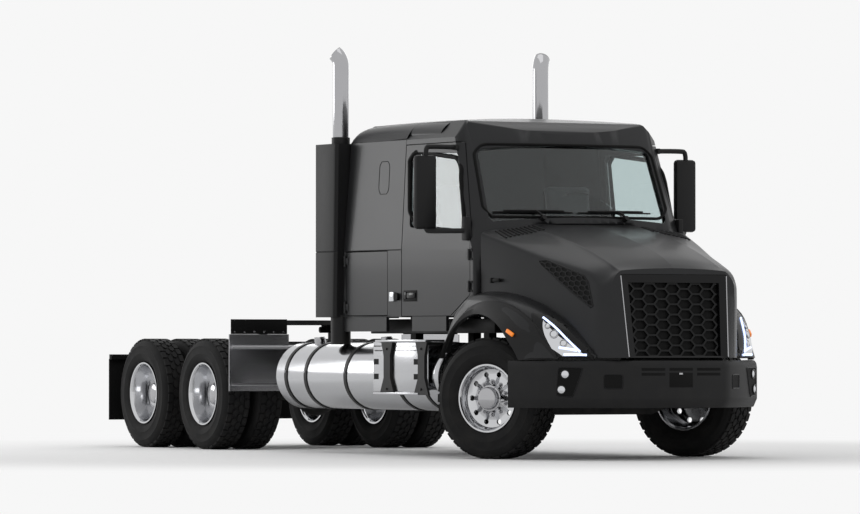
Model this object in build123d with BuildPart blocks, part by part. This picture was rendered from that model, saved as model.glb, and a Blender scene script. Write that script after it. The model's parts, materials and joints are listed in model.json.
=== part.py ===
from build123d import *
import os
from math import atan2, cos, degrees, hypot, radians, sin

os.makedirs("parts", exist_ok=True)

# Conventional three-axle tractor with a short flat-roof sleeper.
# Millimetres. +X ahead, +Y to the driver's left, +Z up, ground at Z = 0,
# origin under the middle of the whole vehicle.

# ---- driving sizes ----------------------------------------------------------
overall_length = 8780
front_overhang = 1435            # front axle to the bumper's face
wheelbase = 5950                 # front axle to the middle of the tandem
tandem_spread = 1290
axle_x = overall_length / 2 - front_overhang
mid_axle_x = axle_x - wheelbase + tandem_spread / 2
rear_axle_x = axle_x - wheelbase - tandem_spread / 2
tandem_x = axle_x - wheelbase
tail_x = -overall_length / 2

# ---- tyres and wheels -------------------------------------------------------
tyre_radius = 530
axle_z = tyre_radius
rim_radius = 286                 # bead seat
rim_lip_radius = 298
front_tyre_width = 385
front_rim_width = 300
drive_tyre_width = 300
drive_rim_width = 230
dual_spacing = 345
dual_middle_y = 928
disc_thickness = 22
kingpin_y = 925
front_track_y = 1050             # wheel centre with the wheels straight
steer_at_rest = 26               # wheels turned to the left as parked
bore_clearance = 3

# ---- frame ------------------------------------------------------------------
rail_top_z = 1010
rail_height = 300
rail_flange = 90
rail_web = 10
frame_half_width = 432
rail_front_x = axle_x + 1140
rail_rear_x = tail_x + 120

# ---- cab --------------------------------------------------------------------
cab_floor_z = 1250
floor_thickness = 60
wall = 60
cab_half_width = 1085
belt_z = 1850
crease_z = 2840
crease_half_width = 1032
roof_z = 3030
cab_split_x = axle_x - 1600      # day cab's back edge, sleeper's front edge
split_gap = 6
sleeper_back_x = axle_x - 2722
firewall_x = axle_x - 212
cowl_z = 2062
glass_thickness = 8
seal_gap = 0.4

# ---- doors ------------------------------------------------------------------
door_gap = 8
door_front_x = axle_x - 350
door_rear_x = cab_split_x + 6
door_top_z = 2790
hinge_y = cab_half_width + 12
hinge_pin_radius = 5
hinge_knuckle_radius = 11
hinge_knuckle_height = 60
door_hinge_x = door_front_x + 4
door_hinge_levels = (1510, 1790)
luggage_hinge_levels = (1340, 1760)

# ---- hood -------------------------------------------------------------------
hood_rear_x = axle_x - 195
hood_nose_x = axle_x + 1330
hood_skin = 30
hood_pivot_x = axle_x + 1406
hood_pivot_z = 850
hood_bottom_z = 874
hood_pin_radius = 8
hood_lug_radius = 14
hood_lug_y = 300
hood_lug_width = 40
pin_play = 0.3
arch_radius = 735
arch_x = axle_x + 30
fender_half_width = 1205
flare_half_width = 1245

# ---- bumper -----------------------------------------------------------------
bumper_top_z = 862
bumper_bottom_z = 452
bumper_skin = 45


def at(x, y, z):
    """Point at x ahead of the front axle."""
    return (axle_x + x, y, z)


def wheel_axis(side, turn):
    """Outward axle direction of a wheel turned to the left by turn degrees."""
    return Vector(-side * sin(radians(turn)), side * cos(radians(turn)), 0)


def spin_plane(centre, outward):
    """Plane through a wheel: local X up the radius, local Y along the axle, outward."""
    up = Vector(0, 0, 1)
    return Plane(origin=centre, x_dir=up, z_dir=up.cross(outward))


def front_wheel_centre(side):
    """Middle of a front tyre, swung about its kingpin to the parked steering angle."""
    reach = wheel_axis(side, steer_at_rest) * (front_track_y - kingpin_y)
    return Vector(axle_x, side * kingpin_y, axle_z) + reach


# ---- tyre and rim sections --------------------------------------------------
def tyre_section(width):
    """Half-round shouldered tyre section, (radius, axial) points, symmetric."""
    half = width / 2
    return [
        (rim_radius + 1, half - 55),
        (rim_lip_radius + 14, half - 32),
        (rim_lip_radius + 90, half),
        (tyre_radius - 70, half - 4),
        (tyre_radius - 14, half - 26),
        (tyre_radius, half - 42),
    ]


def add_tyre(centre, outward, width):
    """Revolve one tyre about the given axle."""
    points = tyre_section(width)
    with BuildSketch(spin_plane(centre, outward)) as section:
        with BuildLine():
            Polyline(*points, *[(r, -a) for r, a in reversed(points)], close=True)
        make_face()
    revolve(section.sketch, axis=Axis(centre, outward))


def front_rim_section():
    """Wide rim whose disc stands just inside its outer lip, (radius, axial) points."""
    half = front_rim_width / 2
    face = front_disc_offset
    barrel = rim_radius - rim_metal
    return [
        (rim_lip_radius, half + 12),
        (rim_lip_radius, half),
        (rim_radius, half - 8),
        (rim_radius, 8 - half),
        (rim_lip_radius, -half),
        (rim_lip_radius, -half - 12),
        (rim_lip_radius - 14, -half - 12),
        (barrel, 10 - half),
        (barrel, face - 60),
        (barrel - 30, face - disc_thickness),
        (bore_radius, face - disc_thickness),
        (bore_radius, face),
        (barrel - 18, face),
        (barrel, face + 30),
        (barrel, half - 10),
        (rim_lip_radius - 14, half + 12),
    ]


def drive_rim_section():
    """Deep rim whose disc meets its twin's, half the dual spacing inboard."""
    half = drive_rim_width / 2
    meet = -dual_spacing / 2
    barrel = rim_radius - rim_metal
    return [
        (rim_lip_radius, half + 12),
        (rim_lip_radius, half),
        (rim_radius, half - 8),
        (rim_radius, 8 - half),
        (rim_lip_radius, -half),
        (rim_lip_radius, -half - 12),
        (rim_lip_radius - 14, -half - 12),
        (barrel, 10 - half),
        (mount_face_radius, meet),
        (bore_radius, meet),
        (bore_radius, meet + disc_thickness),
        (mount_face_radius - 10, meet + disc_thickness),
        (barrel - 14, 30 - half),
        (barrel, 60 - half),
        (barrel, half - 10),
        (rim_lip_radius - 14, half + 12),
    ]


def add_rim(centre, outward, points):
    """Revolve one rim with its disc about the given axle."""
    with BuildSketch(spin_plane(centre, outward)) as section:
        with BuildLine():
            Polyline(*points, close=True)
        make_face()
    revolve(section.sketch, axis=Axis(centre, outward))


rim_metal = 16
stub_reach = 40                  # axle stub past the middle of the twins
bore_radius = 20
mount_face_radius = 228
hub_radius = 110
hand_holes = 10
hand_hole_radius = 24
hand_hole_circle = 215
front_disc_offset = 70

# wheels by side: +1 is the left, -1 the right
for side, hand in ((1, "left"), (-1, "right")):
    outward = wheel_axis(side, steer_at_rest)
    centre = front_wheel_centre(side)
    with BuildPart() as front_tyre:
        add_tyre(centre, outward, front_tyre_width)
    front_tyre.part.label = f"front_tyre_{hand}"
    export_step(front_tyre.part, f"parts/front_tyre_{hand}.step")

    with BuildPart() as front_rim:
        add_rim(centre, outward, front_rim_section())
        with BuildSketch(Plane(origin=centre, z_dir=outward)):
            with PolarLocations(hand_hole_circle, hand_holes):
                Circle(hand_hole_radius)
        extrude(amount=front_rim_width, both=True, mode=Mode.SUBTRACT)
        hub_face = centre + outward * front_disc_offset
        with BuildSketch(Plane(origin=hub_face, z_dir=outward)):
            Circle(hub_radius)
        extrude(amount=45)
    front_rim.part.label = f"front_rim_{hand}"
    export_step(front_rim.part, f"parts/front_rim_{hand}.step")

    for axle, x in (("mid", mid_axle_x), ("rear", rear_axle_x)):
        square = wheel_axis(side, 0)
        twins = [Vector(x, side * (dual_middle_y + s * dual_spacing / 2), axle_z) for s in (1, -1)]
        with BuildPart() as twin_tyres:
            for centre_twin in twins:
                add_tyre(centre_twin, square, drive_tyre_width)
        twin_tyres.part.label = f"{axle}_tyres_{hand}"
        export_step(twin_tyres.part, f"parts/{axle}_tyres_{hand}.step")

        with BuildPart() as twin_rims:
            for centre_twin, facing in zip(twins, (1, -1)):
                add_rim(centre_twin, square * facing, drive_rim_section())
            middle = Vector(x, side * dual_middle_y, axle_z)
            with BuildSketch(Plane(origin=middle, z_dir=square)):
                with PolarLocations(hand_hole_circle, hand_holes):
                    Circle(hand_hole_radius)
            extrude(amount=60, both=True, mode=Mode.SUBTRACT)
            with BuildSketch(Plane(origin=middle, z_dir=square)):
                Circle(hub_radius)
            extrude(amount=150)
            with BuildSketch(Plane(origin=middle, z_dir=square)):
                Circle(bore_radius)
            extrude(amount=stub_reach + 5, both=True, mode=Mode.SUBTRACT)
        twin_rims.part.label = f"{axle}_rims_{hand}"
        export_step(twin_rims.part, f"parts/{axle}_rims_{hand}.step")

# ---- front axle, knuckles ---------------------------------------------------
beam_drop_z = 430                # beam's middle height between the springs
kingpin_radius = 24
eye_radius = 55
eye_height = 120
knuckle_gap = 6
yoke_plate = 34

with BuildPart() as front_axle:
    with BuildSketch(Plane(origin=at(0, 0, 0), x_dir=(0, 1, 0), z_dir=(1, 0, 0))):
        with BuildLine():
            Polyline(
                (-kingpin_y, axle_z - 45),
                (-kingpin_y + 120, axle_z - 45),
                (-frame_half_width - 120, beam_drop_z - 50),
                (frame_half_width + 120, beam_drop_z - 50),
                (kingpin_y - 120, axle_z - 45),
                (kingpin_y, axle_z - 45),
                (kingpin_y, axle_z + 45),
                (kingpin_y - 120, axle_z + 45),
                (frame_half_width + 60, beam_drop_z + 50),
                (-frame_half_width - 60, beam_drop_z + 50),
                (-kingpin_y + 120, axle_z + 45),
                (-kingpin_y, axle_z + 45),
                close=True,
            )
        make_face()
    extrude(amount=45, both=True)
    with Locations(*[at(0, side * kingpin_y, axle_z) for side in (1, -1)]):
        Cylinder(eye_radius, eye_height)
        Cylinder(kingpin_radius + 0.05, eye_height, mode=Mode.SUBTRACT)
front_axle.part.label = "front_axle"
export_step(front_axle.part, "parts/front_axle.step")

spindle_radius = 19.9
for side, hand in ((1, "left"), (-1, "right")):
    outward = wheel_axis(side, steer_at_rest)
    pivot = Vector(axle_x, side * kingpin_y, axle_z)
    inner = front_track_y - kingpin_y
    with BuildPart() as knuckle:
        with Locations(pivot):
            Cylinder(kingpin_radius, eye_height + 2 * (knuckle_gap + yoke_plate))
        for level in (1, -1):
            middle = axle_z + level * (eye_height / 2 + knuckle_gap + yoke_plate / 2)
            with BuildSketch(
                Plane(origin=(axle_x, side * kingpin_y, middle), x_dir=outward, z_dir=(0, 0, 1))
            ):
                Circle(eye_radius)
                with Locations((eye_radius, 0)):
                    Rectangle(2 * eye_radius, 1.4 * eye_radius)
            extrude(amount=yoke_plate / 2, both=True)
        yoke_back = pivot + outward * (eye_radius + 8)
        with BuildSketch(Plane(origin=yoke_back, z_dir=outward)):
            Circle(eye_height / 2 + knuckle_gap + yoke_plate)
        extrude(amount=22)
        with BuildSketch(Plane(origin=yoke_back, z_dir=outward)):
            Circle(spindle_radius)
        extrude(amount=inner + front_disc_offset - eye_radius - 10)
    knuckle.part.label = f"knuckle_{hand}"
    export_step(knuckle.part, f"parts/knuckle_{hand}.step")

# ---- drive axles and shafts -------------------------------------------------
axle_tube_radius = 62
stub_radius = 19.9
shaft_radius = 55
pinion_z = axle_z + 60
saddle_drop = 90
beam_y = 520
beam_width = 80
gearbox_z = 860
shaft_rear = Vector(mid_axle_x + 250, 0, pinion_z)
shaft_run = Vector(axle_x - 1094, 0, gearbox_z) - shaft_rear
shaft_tunnel = 95

with BuildPart() as drive_axles:
    for x in (mid_axle_x, rear_axle_x):
        with Locations(Location((x, 0, axle_z), (90, 0, 0))):
            Cylinder(axle_tube_radius, 2 * (dual_middle_y - dual_spacing / 2 - drive_tyre_width / 2))
            Cylinder(stub_radius, 2 * (dual_middle_y + stub_reach))
        with Locations((x, 0, axle_z)):
            Sphere(215)
        with Locations(Location((x + 190, 0, pinion_z), (0, 90, 0))):
            Cylinder(90, 160)
        with Locations(*[(x, y, axle_z - saddle_drop / 2) for y in (beam_y, -beam_y)]):
            Box(140, beam_width, saddle_drop)
    with Locations(Location(((mid_axle_x + rear_axle_x) / 2, 0, pinion_z), (0, 90, 0))):
        Cylinder(shaft_radius - 10, tandem_spread - 2 * 120)
    with BuildSketch(Plane(origin=shaft_rear, z_dir=shaft_run)):
        Circle(shaft_radius)
    extrude(amount=shaft_run.length)
drive_axles.part.label = "drive_axles"
export_step(drive_axles.part, "parts/drive_axles.step")

# ---- engine and gearbox, radiator ------------------------------------------
with BuildPart() as engine_block:
    with Locations(at(440, 0, 1060)):
        Box(1060, 670, 860)
    with Locations(at(-500, 0, 900)):
        Box(1180, 500, 460)
    with Locations(at(440, 0, 800)):
        Box(120, 2 * (frame_half_width - rail_web), 100)
engine_block.part.label = "engine_block"
export_step(engine_block.part, "parts/engine_block.step")

with BuildPart() as radiator:
    with Locations(at(1130, 0, 1280)):
        Box(130, 900, 520)
    with Locations(at(1130, 0, 879)):
        Box(130, 660, 292)
radiator.part.label = "radiator"
export_step(radiator.part, "parts/radiator.step")

# ---- frame ------------------------------------------------------------------
rail_length = rail_front_x - rail_rear_x
rail_middle_x = (rail_front_x + rail_rear_x) / 2
rail_middle_z = rail_top_z - rail_height / 2
crossmember_at = (-1500, -2600, -3700, -4600, -5950, -7050)

with BuildPart() as frame:
    for side in (1, -1):
        with BuildSketch(Plane(origin=(rail_rear_x, 0, 0), x_dir=(0, 1, 0), z_dir=(1, 0, 0))):
            with Locations((side * (frame_half_width - rail_flange / 2), rail_middle_z)):
                Rectangle(rail_flange, rail_height)
            with Locations((side * (frame_half_width - rail_flange / 2 - rail_web), rail_middle_z)):
                Rectangle(rail_flange, rail_height - 2 * rail_web, mode=Mode.SUBTRACT)
        extrude(amount=rail_length)
    with Locations(*[at(x, 0, rail_middle_z) for x in crossmember_at]):
        Box(rail_web, 2 * (frame_half_width - rail_web), rail_height - 60)
    with Locations(at(1130, 0, 718)):
        Box(130, 700, 30)
    with BuildSketch(Plane(origin=shaft_rear, z_dir=shaft_run)):
        Circle(shaft_tunnel)
    extrude(amount=shaft_run.length, mode=Mode.SUBTRACT)
    with Locations(Location(((mid_axle_x + rear_axle_x) / 2, 0, pinion_z), (0, 90, 0))):
        Cylinder(shaft_tunnel, tandem_spread, mode=Mode.SUBTRACT)
frame.part.label = "frame"
export_step(frame.part, "parts/frame.step")

# ---- springs and rear suspension --------------------------------------------
with BuildPart() as suspension:
    for side in (1, -1):
        with Locations(at(0, side * (frame_half_width - 40), beam_drop_z + 80)):
            Box(1500, 80, 60)
        for x in (-730, 730):
            with Locations(at(x, side * (frame_half_width - 40), 605)):
                Box(70, 60, 210)
        with BuildSketch(Plane(origin=(tandem_x, side * beam_y, 0), x_dir=(1, 0, 0), z_dir=(0, -1, 0))):
            with BuildLine():
                Polyline(
                    (-tandem_spread / 2 - 70, axle_z - saddle_drop - 60),
                    (tandem_spread / 2 + 70, axle_z - saddle_drop - 60),
                    (tandem_spread / 2 + 70, axle_z - saddle_drop),
                    (tandem_spread / 2 - 70, axle_z - saddle_drop),
                    (120, axle_z + 40),
                    (-120, axle_z + 40),
                    (70 - tandem_spread / 2, axle_z - saddle_drop),
                    (-tandem_spread / 2 - 70, axle_z - saddle_drop),
                    close=True,
                )
            make_face()
        extrude(amount=beam_width / 2, both=True)
        with Locations((tandem_x, side * (frame_half_width + 65), 700)):
            Box(330, 130, 270)
suspension.part.label = "suspension"
export_step(suspension.part, "parts/suspension.step")

# ---- fuel tanks -------------------------------------------------------------
tank_radius = 305
tank_y = 890
tank_z = 712
tank_rear_x = axle_x - 3870
tank_front_x = axle_x - 760
strap_radius = tank_radius + 7
strap_width = 50
strap_at = (-3640, -3250, -2470, -1480, -1000)

with BuildPart() as fuel_tanks:
    for side in (1, -1):
        with BuildSketch(Plane(origin=(tank_rear_x, side * tank_y, tank_z), z_dir=(1, 0, 0))):
            Circle(tank_radius)
        extrude(amount=tank_front_x - tank_rear_x)
    fillet(fuel_tanks.edges().filter_by(GeomType.CIRCLE), 40)
fuel_tanks.part.label = "fuel_tanks"
export_step(fuel_tanks.part, "parts/fuel_tanks.step")

with BuildPart() as tank_straps:
    for side in (1, -1):
        for x in strap_at:
            with BuildSketch(Plane(origin=at(x, side * tank_y, tank_z), z_dir=(1, 0, 0))):
                Circle(strap_radius)
                Circle(tank_radius + 0.3, mode=Mode.SUBTRACT)
            extrude(amount=strap_width / 2, both=True)
            with Locations(at(x, side * (frame_half_width + 82), 830)):
                Box(strap_width, 164, 330)
    for side in (1, -1):
        with BuildSketch(Plane(origin=(tank_rear_x - 50, side * tank_y, tank_z), z_dir=(1, 0, 0))):
            Circle(tank_radius + 0.3)
        extrude(amount=tank_front_x - tank_rear_x + 100, mode=Mode.SUBTRACT)
tank_straps.part.label = "tank_straps"
export_step(tank_straps.part, "parts/tank_straps.step")

# ---- cab steps over the tanks -----------------------------------------------
with BuildPart() as cab_steps:
    for side in (1, -1):
        with Locations(at(-1240, side * 1150, 1032)):
            Box(640, 200, 20)
        with Locations(at(-1240, side * 1226, 560)):
            Box(640, 48, 20)
        for x in (-1480, -1000):
            with Locations(at(x, side * 1200, 796)):
                Box(100, 100, 492)
        with BuildSketch(Plane(origin=at(-2000, side * tank_y, tank_z), z_dir=(1, 0, 0))):
            Circle(strap_radius)
        extrude(amount=1500, mode=Mode.SUBTRACT)
cab_steps.part.label = "cab_steps"
export_step(cab_steps.part, "parts/cab_steps.step")

# ---- fifth wheel ------------------------------------------------------------
fifth_wheel_x = axle_x - wheelbase + 260
fifth_pivot_z = 1145
fifth_plate_z = 1235
fifth_half_width = 455

with BuildPart() as fifth_wheel_base:
    with Locations((fifth_wheel_x, 0, rail_top_z + 10)):
        Box(900, 2 * frame_half_width, 20)
    for side in (1, -1):
        with Locations((fifth_wheel_x, side * 380, rail_top_z + 85)):
            Box(110, 36, 130)
        with Locations(Location((fifth_wheel_x, side * 380, fifth_pivot_z), (90, 0, 0))):
            Cylinder(40, 36)
            Cylinder(30.05, 36, mode=Mode.SUBTRACT)
fifth_wheel_base.part.label = "fifth_wheel_base"
export_step(fifth_wheel_base.part, "parts/fifth_wheel_base.step")

with BuildPart() as fifth_wheel_plate:
    with BuildSketch(Plane.XY.offset(fifth_plate_z - 45)):
        with Locations((fifth_wheel_x, 0)):
            Circle(fifth_half_width)
            with Locations((-fifth_half_width, 0)):
                Rectangle(fifth_half_width, 60, mode=Mode.SUBTRACT)
            Circle(27, mode=Mode.SUBTRACT)
    extrude(amount=45)
    for side in (1, -1):
        with Locations(Location((fifth_wheel_x, side * 345, fifth_pivot_z), (90, 0, 0))):
            Cylinder(30, 200)
        with Locations((fifth_wheel_x, side * 320, fifth_plate_z - 70)):
            Box(120, 60, 60)
fifth_wheel_plate.part.label = "fifth_wheel_plate"
export_step(fifth_wheel_plate.part, "parts/fifth_wheel_plate.step")

# ---- rear fenders, mud flaps, lamps -----------------------------------------
with BuildPart() as quarter_fenders:
    for side in (1, -1):
        with Locations((mid_axle_x + 600, side * 930, 830)):
            Box(5, 640, 540)
        with Locations((mid_axle_x + 600, side * 930, 1170)):
            Box(8, 600, 141)
        with Locations((mid_axle_x + 627, side * 706, 960)):
            Box(50, 548, 40)
quarter_fenders.part.label = "quarter_fenders"
export_step(quarter_fenders.part, "parts/quarter_fenders.step")

with BuildPart() as mud_flaps:
    for side in (1, -1):
        with Locations((tail_x + 5, side * 930, 560)):
            Box(10, 620, 600)
        with Locations((tail_x + 35, side * 830, 880)):
            Box(50, 820, 50)
    with Locations((tail_x + 70, 0, 880)):
        Box(20, 2 * frame_half_width, 90)
mud_flaps.part.label = "mud_flaps"
export_step(mud_flaps.part, "parts/mud_flaps.step")

with BuildPart() as rear_crossbar:
    with Locations((tail_x + 100, 0, 830)):
        Box(40, 2 * frame_half_width, 200)
rear_crossbar.part.label = "rear_crossbar"
export_step(rear_crossbar.part, "parts/rear_crossbar.step")

# ---- stacks and their shields -----------------------------------------------
stack_x = axle_x - 2810
stack_y = 1060
stack_radius = 74
stack_straight_z = 3560
stack_foot_z = 1085
muffler_radius = 90
shield_top_z = crease_z

with BuildPart() as exhaust_stacks:
    for side in (1, -1):
        with BuildSketch(Plane.XY.offset(stack_foot_z)):
            with Locations((stack_x, side * stack_y)):
                Circle(stack_radius)
        extrude(amount=stack_straight_z - stack_foot_z)
        bend_start = Vector(stack_x, side * stack_y, stack_straight_z)
        backward = Vector(-1, side, 0).normalized()
        with BuildSketch(Plane(origin=bend_start, z_dir=(0, 0, 1))):
            Circle(stack_radius)
        pivot_axis = Axis(bend_start + backward * 150, backward.cross(Vector(0, 0, 1)) * -1)
        revolve(axis=pivot_axis, revolution_arc=50)
exhaust_stacks.part.label = "exhaust_stacks"
export_step(exhaust_stacks.part, "parts/exhaust_stacks.step")

with BuildPart() as stack_shields:
    for side in (1, -1):
        with Locations(at(-2915, side * 1172, (cab_floor_z + shield_top_z) / 2)):
            Box(370, 20, shield_top_z - cab_floor_z)
        with Locations(at(-3096, side * 1100, (cab_floor_z + shield_top_z) / 2)):
            Box(8, 164, shield_top_z - cab_floor_z)
        with Locations((stack_x, side * (frame_half_width + 330), stack_foot_z - 27)):
            Box(180, 840, 54)
        with Locations((stack_x, side * (frame_half_width - 45), (stack_foot_z + rail_top_z) / 2)):
            Box(180, 80, stack_foot_z - rail_top_z)
        with Locations((stack_x - 60, side * 1172, (stack_foot_z + cab_floor_z) / 2)):
            Box(60, 20, cab_floor_z - stack_foot_z + 120)
stack_shields.part.label = "stack_shields"
export_step(stack_shields.part, "parts/stack_shields.step")

# ---- cab and sleeper envelope -----------------------------------------------
screen_low = at(-190, 0, 2100)   # windscreen's middle, low and high
screen_high = at(-500, 0, 2800)
screen_up = (Vector(screen_high) - Vector(screen_low)).normalized()
screen_out = Vector(0, 1, 0).cross(screen_up)
screen_half_width = 957
screen_bow = 119
cowl_lip_x = -165
side_plane = Plane(origin=(axle_x, 0, 0), x_dir=(1, 0, 0), z_dir=(0, -1, 0))
front_plane = Plane(origin=(axle_x, 0, 0), x_dir=(0, 1, 0), z_dir=(1, 0, 0))
slope_plane = Plane(origin=screen_low, x_dir=(0, 1, 0), z_dir=screen_up)
screen_plane = Plane(origin=screen_low, x_dir=(0, 1, 0), z_dir=screen_out)


def cab_envelope(inset):
    """Solid outside of cab and sleeper, drawn in by inset on every face."""
    back = sleeper_back_x - axle_x + inset
    front = firewall_x - axle_x - inset
    lip = front if inset > 0 else cowl_lip_x
    with BuildPart() as envelope:
        with BuildSketch(side_plane):
            with BuildLine():
                Polyline(
                    (back, cab_floor_z + inset),
                    (back + 14, belt_z),
                    (back + 67, crease_z),
                    (back + 125, 2945 - inset),
                    (back + 260, 3005 - inset),
                    (-1900, roof_z - inset),
                    (-1050, roof_z - inset),
                    (-720, 2985 - inset),
                    (-560, 2900 - inset),
                    (-460, 2790 - inset),
                    (lip, 2095 - inset),
                    (lip, 2076 - inset),
                    (front, 2060 - inset),
                    (front, cab_floor_z + inset),
                    close=True,
                )
            make_face()
        extrude(amount=cab_half_width + 50, both=True)
        with BuildSketch(front_plane, mode=Mode.PRIVATE) as front_view:
            with BuildLine():
                Polyline(
                    (880 - inset, 2995 - inset),
                    (crease_half_width - inset, crease_z - inset / 4),
                    (cab_half_width - inset, belt_z),
                    (cab_half_width - inset, cab_floor_z + inset),
                    (inset - cab_half_width, cab_floor_z + inset),
                    (inset - cab_half_width, belt_z),
                    (inset - crease_half_width, crease_z - inset / 4),
                    (inset - 880, 2995 - inset),
                )
                ThreePointArc(
                    (inset - 880, 2995 - inset),
                    (0, roof_z - inset),
                    (880 - inset, 2995 - inset),
                )
            make_face()
        extrude(front_view.sketch, amount=3500, both=True, mode=Mode.INTERSECT)
        with BuildSketch(slope_plane, mode=Mode.PRIVATE) as slope_view:
            with BuildLine():
                ThreePointArc(
                    (inset / 2 - screen_half_width, screen_bow + inset),
                    (0, inset),
                    (screen_half_width - inset / 2, screen_bow + inset),
                )
                Polyline(
                    (screen_half_width - inset / 2, screen_bow + inset),
                    (cab_half_width + 15 - inset, screen_bow + 110 + inset),
                    (cab_half_width + 15 - inset, 4000),
                    (inset - 15 - cab_half_width, 4000),
                    (inset - 15 - cab_half_width, screen_bow + 110 + inset),
                    (inset / 2 - screen_half_width, screen_bow + inset),
                )
            make_face()
        extrude(slope_view.sketch, amount=3500, both=True, mode=Mode.INTERSECT)
    return envelope.part


def shell_layer(depth, thickness):
    """Skin of the cab envelope between two depths."""
    return cab_envelope(depth) - cab_envelope(depth + thickness)


door_bottom_z = cab_floor_z + 6
door_outline = [
    (door_rear_x - axle_x, door_bottom_z),
    (door_rear_x - axle_x, door_top_z),
    (-640, door_top_z),
    (door_front_x - axle_x, 1950),
    (door_front_x - axle_x, 1440),
    (-700, door_bottom_z),
]
window_outline = [(-1510, 2730), (-650, 2695), (-440, 1975), (-1470, 2050)]
window_corner = 45
screen_outline = [(-915, 25), (915, 25), (880, 735), (-880, 735)]
screen_corner = 60
luggage_outline = [(-2655, 1265), (-2655, 1840), (-1870, 1840), (-1870, 1265)]
luggage_gap = 8
luggage_hinge_x = axle_x - 2659


prism_start = 300
door_prism_start = 965


def side_panel(outline, side, gap):
    """Block of one side wall's full thickness, above and outside the floor slab."""
    sill = cab_half_width - wall - gap
    start = door_prism_start - gap
    with BuildPart() as panel:
        with BuildSketch(side_plane.offset(-side * start)):
            with BuildLine():
                Polyline(*outline, close=True)
            make_face()
            if gap:
                offset(amount=gap)
        extrude(amount=-side * 200)
        with Locations(at(-1500, 0, cab_floor_z + floor_thickness / 2)):
            Box(4000, 2 * sill, floor_thickness + 40, mode=Mode.SUBTRACT)
    return panel.part


def side_prism(outline, grow, corner, side):
    """Block through one side wall, of an outline seen from that side."""
    with BuildPart() as prism:
        with BuildSketch(side_plane.offset(-side * prism_start)) as profile:
            with BuildLine():
                Polyline(*outline, close=True)
            make_face()
            if corner:
                fillet(profile.vertices(), corner)
            if grow:
                offset(amount=grow)
        extrude(amount=-side * 1100)
    return prism.part


def screen_prism(grow):
    """Block through the windscreen, square to it."""
    with BuildPart() as prism:
        with BuildSketch(screen_plane) as profile:
            with BuildLine():
                Polyline(*screen_outline, close=True)
            make_face()
            fillet(profile.vertices(), screen_corner)
            if grow:
                offset(amount=grow)
        extrude(amount=400, both=True)
    return prism.part


def add_door_leaf(x, side, levels, toward):
    """Hinge knuckles and leaves on the moving door; toward is the door's side in X."""
    for level in levels:
        with Locations((x, side * hinge_y, level)):
            Cylinder(hinge_knuckle_radius, hinge_knuckle_height)
        with Locations((x + toward * 24, side * (cab_half_width + 3), level)):
            Box(40, 8, hinge_knuckle_height)
        with Locations((x + toward * 8, side * (cab_half_width + 6), level)):
            Box(10, 12, hinge_knuckle_height)
        with Locations((x, side * hinge_y, level)):
            Cylinder(hinge_pin_radius + pin_play, hinge_knuckle_height, mode=Mode.SUBTRACT)


def add_body_leaf(x, side, levels, toward):
    """Hinge pins with their end knuckles and leaves on the fixed body."""
    end = 20
    for level in levels:
        with Locations((x, side * hinge_y, level)):
            Cylinder(hinge_pin_radius, hinge_knuckle_height + 2 * end)
        for step in (1, -1):
            z = level + step * (hinge_knuckle_height / 2 + end / 2 + pin_play)
            with Locations((x, side * hinge_y, z)):
                Cylinder(hinge_knuckle_radius, end)
            with Locations((x + toward * 24, side * (cab_half_width + 3), z)):
                Box(40, 8, end)
            with Locations((x + toward * 8, side * (cab_half_width + 6), z)):
                Box(10, 12, end)


split_cut = Plane(origin=(cab_split_x, 0, 0), z_dir=(1, 0, 0))
sleeper_cut = Plane(origin=(cab_split_x - split_gap, 0, 0), z_dir=(1, 0, 0))

with BuildPart() as cab_shell:
    add(shell_layer(0, wall))
    split(bisect_by=split_cut, keep=Keep.TOP)
    for side in (1, -1):
        add(side_panel(door_outline, side, door_gap), mode=Mode.SUBTRACT)
    add(screen_prism(0), mode=Mode.SUBTRACT)
    for side in (1, -1):
        add_body_leaf(door_hinge_x, side, door_hinge_levels, 1)
cab_shell.part.label = "cab_shell"
export_step(cab_shell.part, "parts/cab_shell.step")

with BuildPart() as sleeper_shell:
    add(shell_layer(0, wall))
    split(bisect_by=sleeper_cut, keep=Keep.BOTTOM)
    for side in (1, -1):
        add(side_panel(luggage_outline, side, luggage_gap), mode=Mode.SUBTRACT)
        add_body_leaf(luggage_hinge_x, side, luggage_hinge_levels, -1)
sleeper_shell.part.label = "sleeper_shell"
export_step(sleeper_shell.part, "parts/sleeper_shell.step")

with BuildPart() as windshield:
    add(shell_layer(18, glass_thickness))
    add(screen_prism(-seal_gap), mode=Mode.INTERSECT)
windshield.part.label = "windshield"
export_step(windshield.part, "parts/windshield.step")

# ---- doors, their glass and mirrors -----------------------------------------
mirror_x = axle_x - 700
mirror_y = 1345
mirror_z = 2345

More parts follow.
